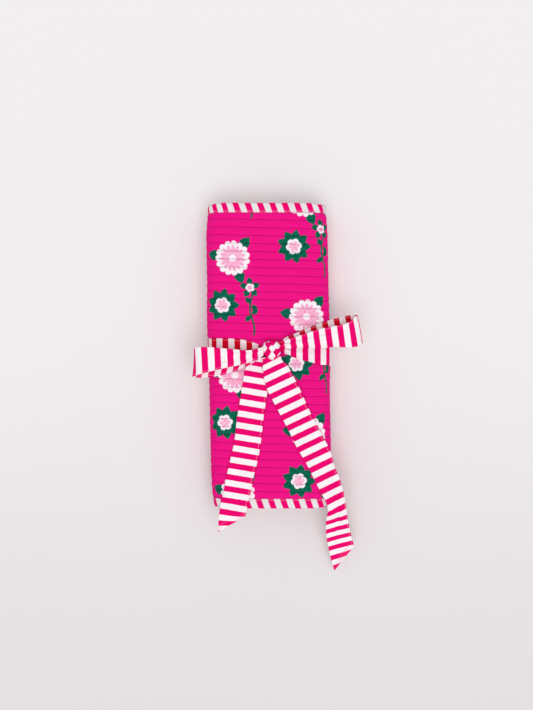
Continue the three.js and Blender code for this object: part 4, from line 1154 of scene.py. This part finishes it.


# The stage: the camera straight above, the floor's colours near and far (darker near: painted shade), the window's
# light and the room's.
CAMERA_PLACE, CAMERA_LENS, SENSOR_WIDTH = (-0.002, 0.0005, 0.750), 46.14, 36.0
FLOOR_REACH, FLOOR_SIDES, FLOOR_DROP = 14.0, 64, 0.00005
FLOOR_NEAR_SHADED = ((0.720, 0.692, 0.702), (0.733, 0.704, 0.714))
FLOOR_FAR_LIT = (0.815, 0.800, 0.802)
WINDOW_ENERGY, WINDOW_SPREAD, WINDOW_TOWARD = 1.50, math.radians(50), (-0.06, 0.25, -1.0)
ROOM_COLOUR, ROOM_STRENGTH, BACKDROP_COLOUR = (1.0, 0.985, 0.99, 1.0), 0.62, (0.84, 0.825, 0.83, 1.0)


class ROLL_OT_stage(bpy.types.Operator):
    """Set up the camera, a pale floor with painted shade on its near side, and soft light"""

    bl_idname = "roll.stage"
    bl_label = "Stage"

    def execute(self, context):
        """Make the camera, the floor, the lamp and the world."""
        lens = bpy.data.cameras.new("overhead_camera")
        lens.lens, lens.sensor_width = CAMERA_LENS, SENSOR_WIDTH
        lens.clip_start, lens.clip_end = 0.01, 20.0
        camera = bpy.data.objects.new("overhead_camera", lens)
        camera.location = CAMERA_PLACE
        context.scene.collection.objects.link(camera)
        context.scene.camera = camera
        self.lay_floor(context)

        lamp = bpy.data.lights.new("window_light", "SUN")
        lamp.energy, lamp.angle = WINDOW_ENERGY, WINDOW_SPREAD
        window = bpy.data.objects.new("window_light", lamp)
        toward = Vector(WINDOW_TOWARD).normalized()
        window.rotation_euler = toward.to_track_quat("-Z", "Y").to_euler()
        context.scene.collection.objects.link(window)
        self.light_room(context)
        context.scene.view_settings.view_transform = "Standard"
        return {"FINISHED"}

    def lay_floor(self, context):
        """Lay the pale floor, painted a little darker towards the camera's near side: painted falloff of light."""
        turns = [2 * math.pi * k / FLOOR_SIDES for k in range(FLOOR_SIDES)]
        corners = [(FLOOR_REACH * math.cos(turn), FLOOR_REACH * math.sin(turn), 0) for turn in turns]
        mesh = bpy.data.meshes.new("floor")
        mesh.from_pydata(corners, [], [tuple(range(FLOOR_SIDES))])
        made = Finish("pale_board", {"Roughness": 0.9, "Specular IOR Level": 0.1})
        here = made.own_space()
        near = here.noise(2.5).tint(*FLOOR_NEAR_SHADED)
        # Painted shade: the floor's colour darkens from far to near.
        made.link("Base Color", here.parts()[1].rise(-0.30, 0.06).tint(near, FLOOR_FAR_LIT))
        mesh.materials.append(made.material)
        floor = bpy.data.objects.new("floor", mesh)
        floor.location = (0, 0, -FLOOR_DROP)
        context.scene.collection.objects.link(floor)

    def light_room(self, context):
        """Light the room softly, with a paler backdrop where the camera and shiny things see it."""
        world = bpy.data.worlds.new("soft_room")
        world.use_nodes = True
        tree = world.node_tree
        room = tree.nodes["Background"]
        room.inputs["Color"].default_value = ROOM_COLOUR
        room.inputs["Strength"].default_value = ROOM_STRENGTH
        rays = tree.nodes.new("ShaderNodeLightPath").outputs
        camera, glossy, through = (
            Field(tree, rays[name]) for name in ("Is Camera Ray", "Is Glossy Ray", "Is Transmission Ray"))
        seen = camera.sum("MAXIMUM", camera.sum("MAXIMUM", camera, glossy), through)
        backdrop = add_node(tree, "ShaderNodeBackground", {"Color": BACKDROP_COLOUR})
        mix = seen.node("ShaderNodeMixShader", {0: seen, 1: Field(tree, room.outputs[0]), 2: backdrop})
        tree.links.new(mix.socket, tree.nodes["World Output"].inputs["Surface"])
        context.scene.world = world


class ROLL_OT_quilt(bpy.types.Operator):
    """Build the quilted cotton, channel by channel, with its lining"""

    bl_idname = "roll.quilt"
    bl_label = "Quilt"

    def execute(self, context):
        """Make the quilt's four stretches."""
        for name in STRETCHES:
            quilt_stretch(name, context.scene.roll_sizes, finishes(context))
        return {"FINISHED"}


class ROLL_OT_binding(bpy.types.Operator):
    """Fold the striped binding over the quilt's edges"""

    bl_idname = "roll.binding"
    bl_label = "Binding"

    def execute(self, context):
        """Make the long bindings and the two at the flaps' ends."""
        materials = finishes(context)
        for name in STRETCHES:
            for side in (1, -1):
                edge_binding(name, side, materials)
        end_binding("back_flap", 0.0, -1, materials)
        end_binding("ring_flap", RUN_END, 1, materials)
        return {"FINISHED"}


# The band: where its sewn end comes out and turns over the left fold, and where a stripe lies on each side.
BAND_BEGIN, BAND_END = 0.0079, FRONT_LEFT + 1.5 * QUARTER_RUN - 0.0003
RIGHT_PINK, LEFT_RED = KNOT_RUN - 0.0361, KNOT_RUN + 0.02675
TUCK_RADIUS = 0.01375
TUCK_END = [[-0.0416, 0.0052], [-0.0419, 0.0030], [-0.0419, 0.0012]]


class ROLL_OT_band(bpy.types.Operator):
    """Lay the ribbon's band round the roll"""

    bl_idname = "roll.band"
    bl_label = "Ribbon band"

    def execute(self, context):
        """Make the band's three stretches and its sewn-in end."""
        materials = finishes(context)
        ribbon, reverse = materials["ribbon"], materials["reverse"]
        parts = (
            ("back", BAND_BEGIN, RIGHT_WALL, plain_edges, RIGHT_PINK, ribbon, "back",
             ["tie_band_back"], ["back_flap_shell"]),
            ("right", RIGHT_WALL, KNOT_RUN, gathered_edges(RIGHT_GATHERS), RIGHT_PINK, ribbon, "front",
             ["tie_band_right", "tie_band_front_right"], ["right_fold_shell", "front_panel_shell"]),
            ("left", KNOT_RUN, BAND_END, gathered_edges(LEFT_GATHERS), LEFT_RED, reverse, "left",
             ["tie_band_front_left", "tie_band_left"], ["front_panel_shell", "left_fold_shell"]),
        )
        for name, begin, end, edges, pink_at, finish, stretch, nodes, under in parts:
            piece = band_stretch(f"band_{name}", begin, end, edges, pink_at, finish)
            stand_for(piece, nodes)
            blend_stretch(piece)
            end - begin
        self.tuck(reverse)
        return {"FINISHED"}

    def tuck(self, finish):
        """Sew the ribbon's end, which goes under the left fold, to the back flap's bound end."""
        turn = np.linspace(-0.75 * math.pi + 0.03, -0.62 * math.pi, 12)
        bend = grid(-FOLD_X + TUCK_RADIUS * np.cos(turn), WALL_TOP + TUCK_RADIUS * np.sin(turn))
        path, places = even_line(np.concatenate([bend, TUCK_END]), 24)
        direction = directions_along(path)
        across = RIBBON_WIDTH * strip_shares(17)[None, :]
        middle = grid(path[:, 0:1], BAND_Y + across - RIBBON_WIDTH / 2, path[:, 1:2])
        normal = grid(direction[:, 1:2], 0.0, -direction[:, 0:1])
        cloth = grid(places[:, None], across, 0.0)
        piece = ribbon_body("band_sewn_end", middle, normal, cloth, TUCK_THICK, [finish])
        stand_for(piece, ["tie_tuck"], "back_flap")


class ROLL_OT_bow(bpy.types.Operator):
    """Tie the ribbon in a bow: knot, loops and tails"""

    bl_idname = "roll.bow"
    bl_label = "Bow"

    def execute(self, context):
        """Make the knot, the two loops and the two tails."""
        materials = finishes(context)
        ribbon, reverse = materials["ribbon"], materials["reverse"]
        bow_piece(knot_body(materials), "bow_knot")
        pairs = ((ribbon, ribbon), (reverse, ribbon), (ribbon, reverse), (ribbon, reverse))
        for seed, (name, pair) in enumerate(zip(BOW_PARTS, pairs)):
            piece, length = free_ribbon(name, seed + 3, pair)
            bow_piece(piece, f"bow_{name}")
        return {"FINISHED"}


class ROLL_OT_pockets(bpy.types.Operator):
    """Sew the two zip pockets: fronts, tapes and coils"""

    bl_idname = "roll.pockets"
    bl_label = "Zip pockets"

    def execute(self, context):
        """Make both pockets and their zips."""
        materials = finishes(context)
        for side, body, inward in (("back", "back_flap", 1), ("front", "front_panel", -1)):
            pocket_front(side, body, inward, materials)
            for tape in ("left", "right"):
                zip_tape(f"{side}_zip_tape_{tape}", body, materials)
            zip_coil(f"{side}_zip_coil", body, materials)
        return {"FINISHED"}


TAB_THICK, TAB_BEND = 0.0008, 0.0006


class ROLL_OT_ring_bar(bpy.types.Operator):
    """Stuff the ring bar and sew its tab and strap"""

    bl_idname = "roll.ring_bar"
    bl_label = "Ring bar"

    def execute(self, context):
        """Make the bar, the tab that sews it down and the strap with the snap."""
        materials = finishes(context)
        ring_bar_pad(materials)
        low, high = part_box("ring_bar_anchor")
        centre_x = middle_of(low, high, 0)
        y, z = low[1] + TAB_THICK / 2, low[2] + TAB_THICK / 2
        turns = np.linspace(0, math.pi / 2, 7)
        bend = [(y + TAB_BEND * (1 - math.cos(a)), z + TAB_BEND * (1 - math.sin(a))) for a in turns]
        stitched_tab("ring_bar_tab", "ring_bar_anchor", "ring_flap", [(y, high[2]), *bend, (high[1], z)],
                     high[0] - low[0], centre_x, TAB_THICK, materials)
        low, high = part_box("snap_strap")
        z = middle_of(low, high, 2)
        stitched_tab("snap_strap_cloth", "snap_strap", "snap_tab", [(high[1], z), (low[1], z)],
                     high[0] - low[0], centre_x, high[2] - low[2], materials)
        return {"FINISHED"}


BRASS_NODES = ("back_zip_slider", "back_zip_pull", "front_zip_slider", "front_zip_pull", "snap_cap", "snap_socket",
               "snap_stud")


class ROLL_OT_metalwork(bpy.types.Operator):
    """Finish the brass sliders, pulls and snap"""

    bl_idname = "roll.metalwork"
    bl_label = "Brass fittings"

    def execute(self, context):
        """Give the brass solids their finish."""
        for name in BRASS_NODES:
            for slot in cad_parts[name].material_slots:
                slot.material = finishes(context)["brass"]
        return {"FINISHED"}


class ROLL_PT_panel(bpy.types.Panel):
    """Lists the roll's pieces, sizes and colours"""

    bl_idname = "ROLL_PT_panel"
    bl_label = "Jewelry roll"
    bl_space_type = "VIEW_3D"
    bl_region_type = "UI"
    bl_category = "Jewelry roll"

    def draw(self, context):
        """Draw the buttons, sizes and colours."""
        for operator in OPERATORS:
            self.layout.operator(operator.bl_idname)
        for group in (context.scene.roll_sizes, context.scene.roll_colours):
            box = self.layout.box()
            for name in group.__annotations__:
                box.prop(group, name)


OPERATORS = (
    ROLL_OT_stage, ROLL_OT_quilt, ROLL_OT_binding, ROLL_OT_band, ROLL_OT_bow, ROLL_OT_pockets,
    ROLL_OT_ring_bar, ROLL_OT_metalwork,
)
CLASSES = (RollSizes, RollColours, *OPERATORS, ROLL_PT_panel)


def register():
    """Register the classes and the scene's properties."""
    for made in CLASSES:
        bpy.utils.register_class(made)
    bpy.types.Scene.roll_sizes = PointerProperty(type=RollSizes)
    bpy.types.Scene.roll_colours = PointerProperty(type=RollColours)


def unregister():
    """Remove what register added."""
    del bpy.types.Scene.roll_colours
    del bpy.types.Scene.roll_sizes
    for made in reversed(CLASSES):
        bpy.utils.unregister_class(made)


def main():
    """Build the whole roll."""
    register()
    bpy.ops.roll.stage()
    bpy.ops.roll.quilt()
    bpy.ops.roll.binding()
    bpy.ops.roll.band()
    bpy.ops.roll.bow()
    bpy.ops.roll.pockets()
    bpy.ops.roll.ring_bar()
    bpy.ops.roll.metalwork()


if __name__ == "__main__":
    main()
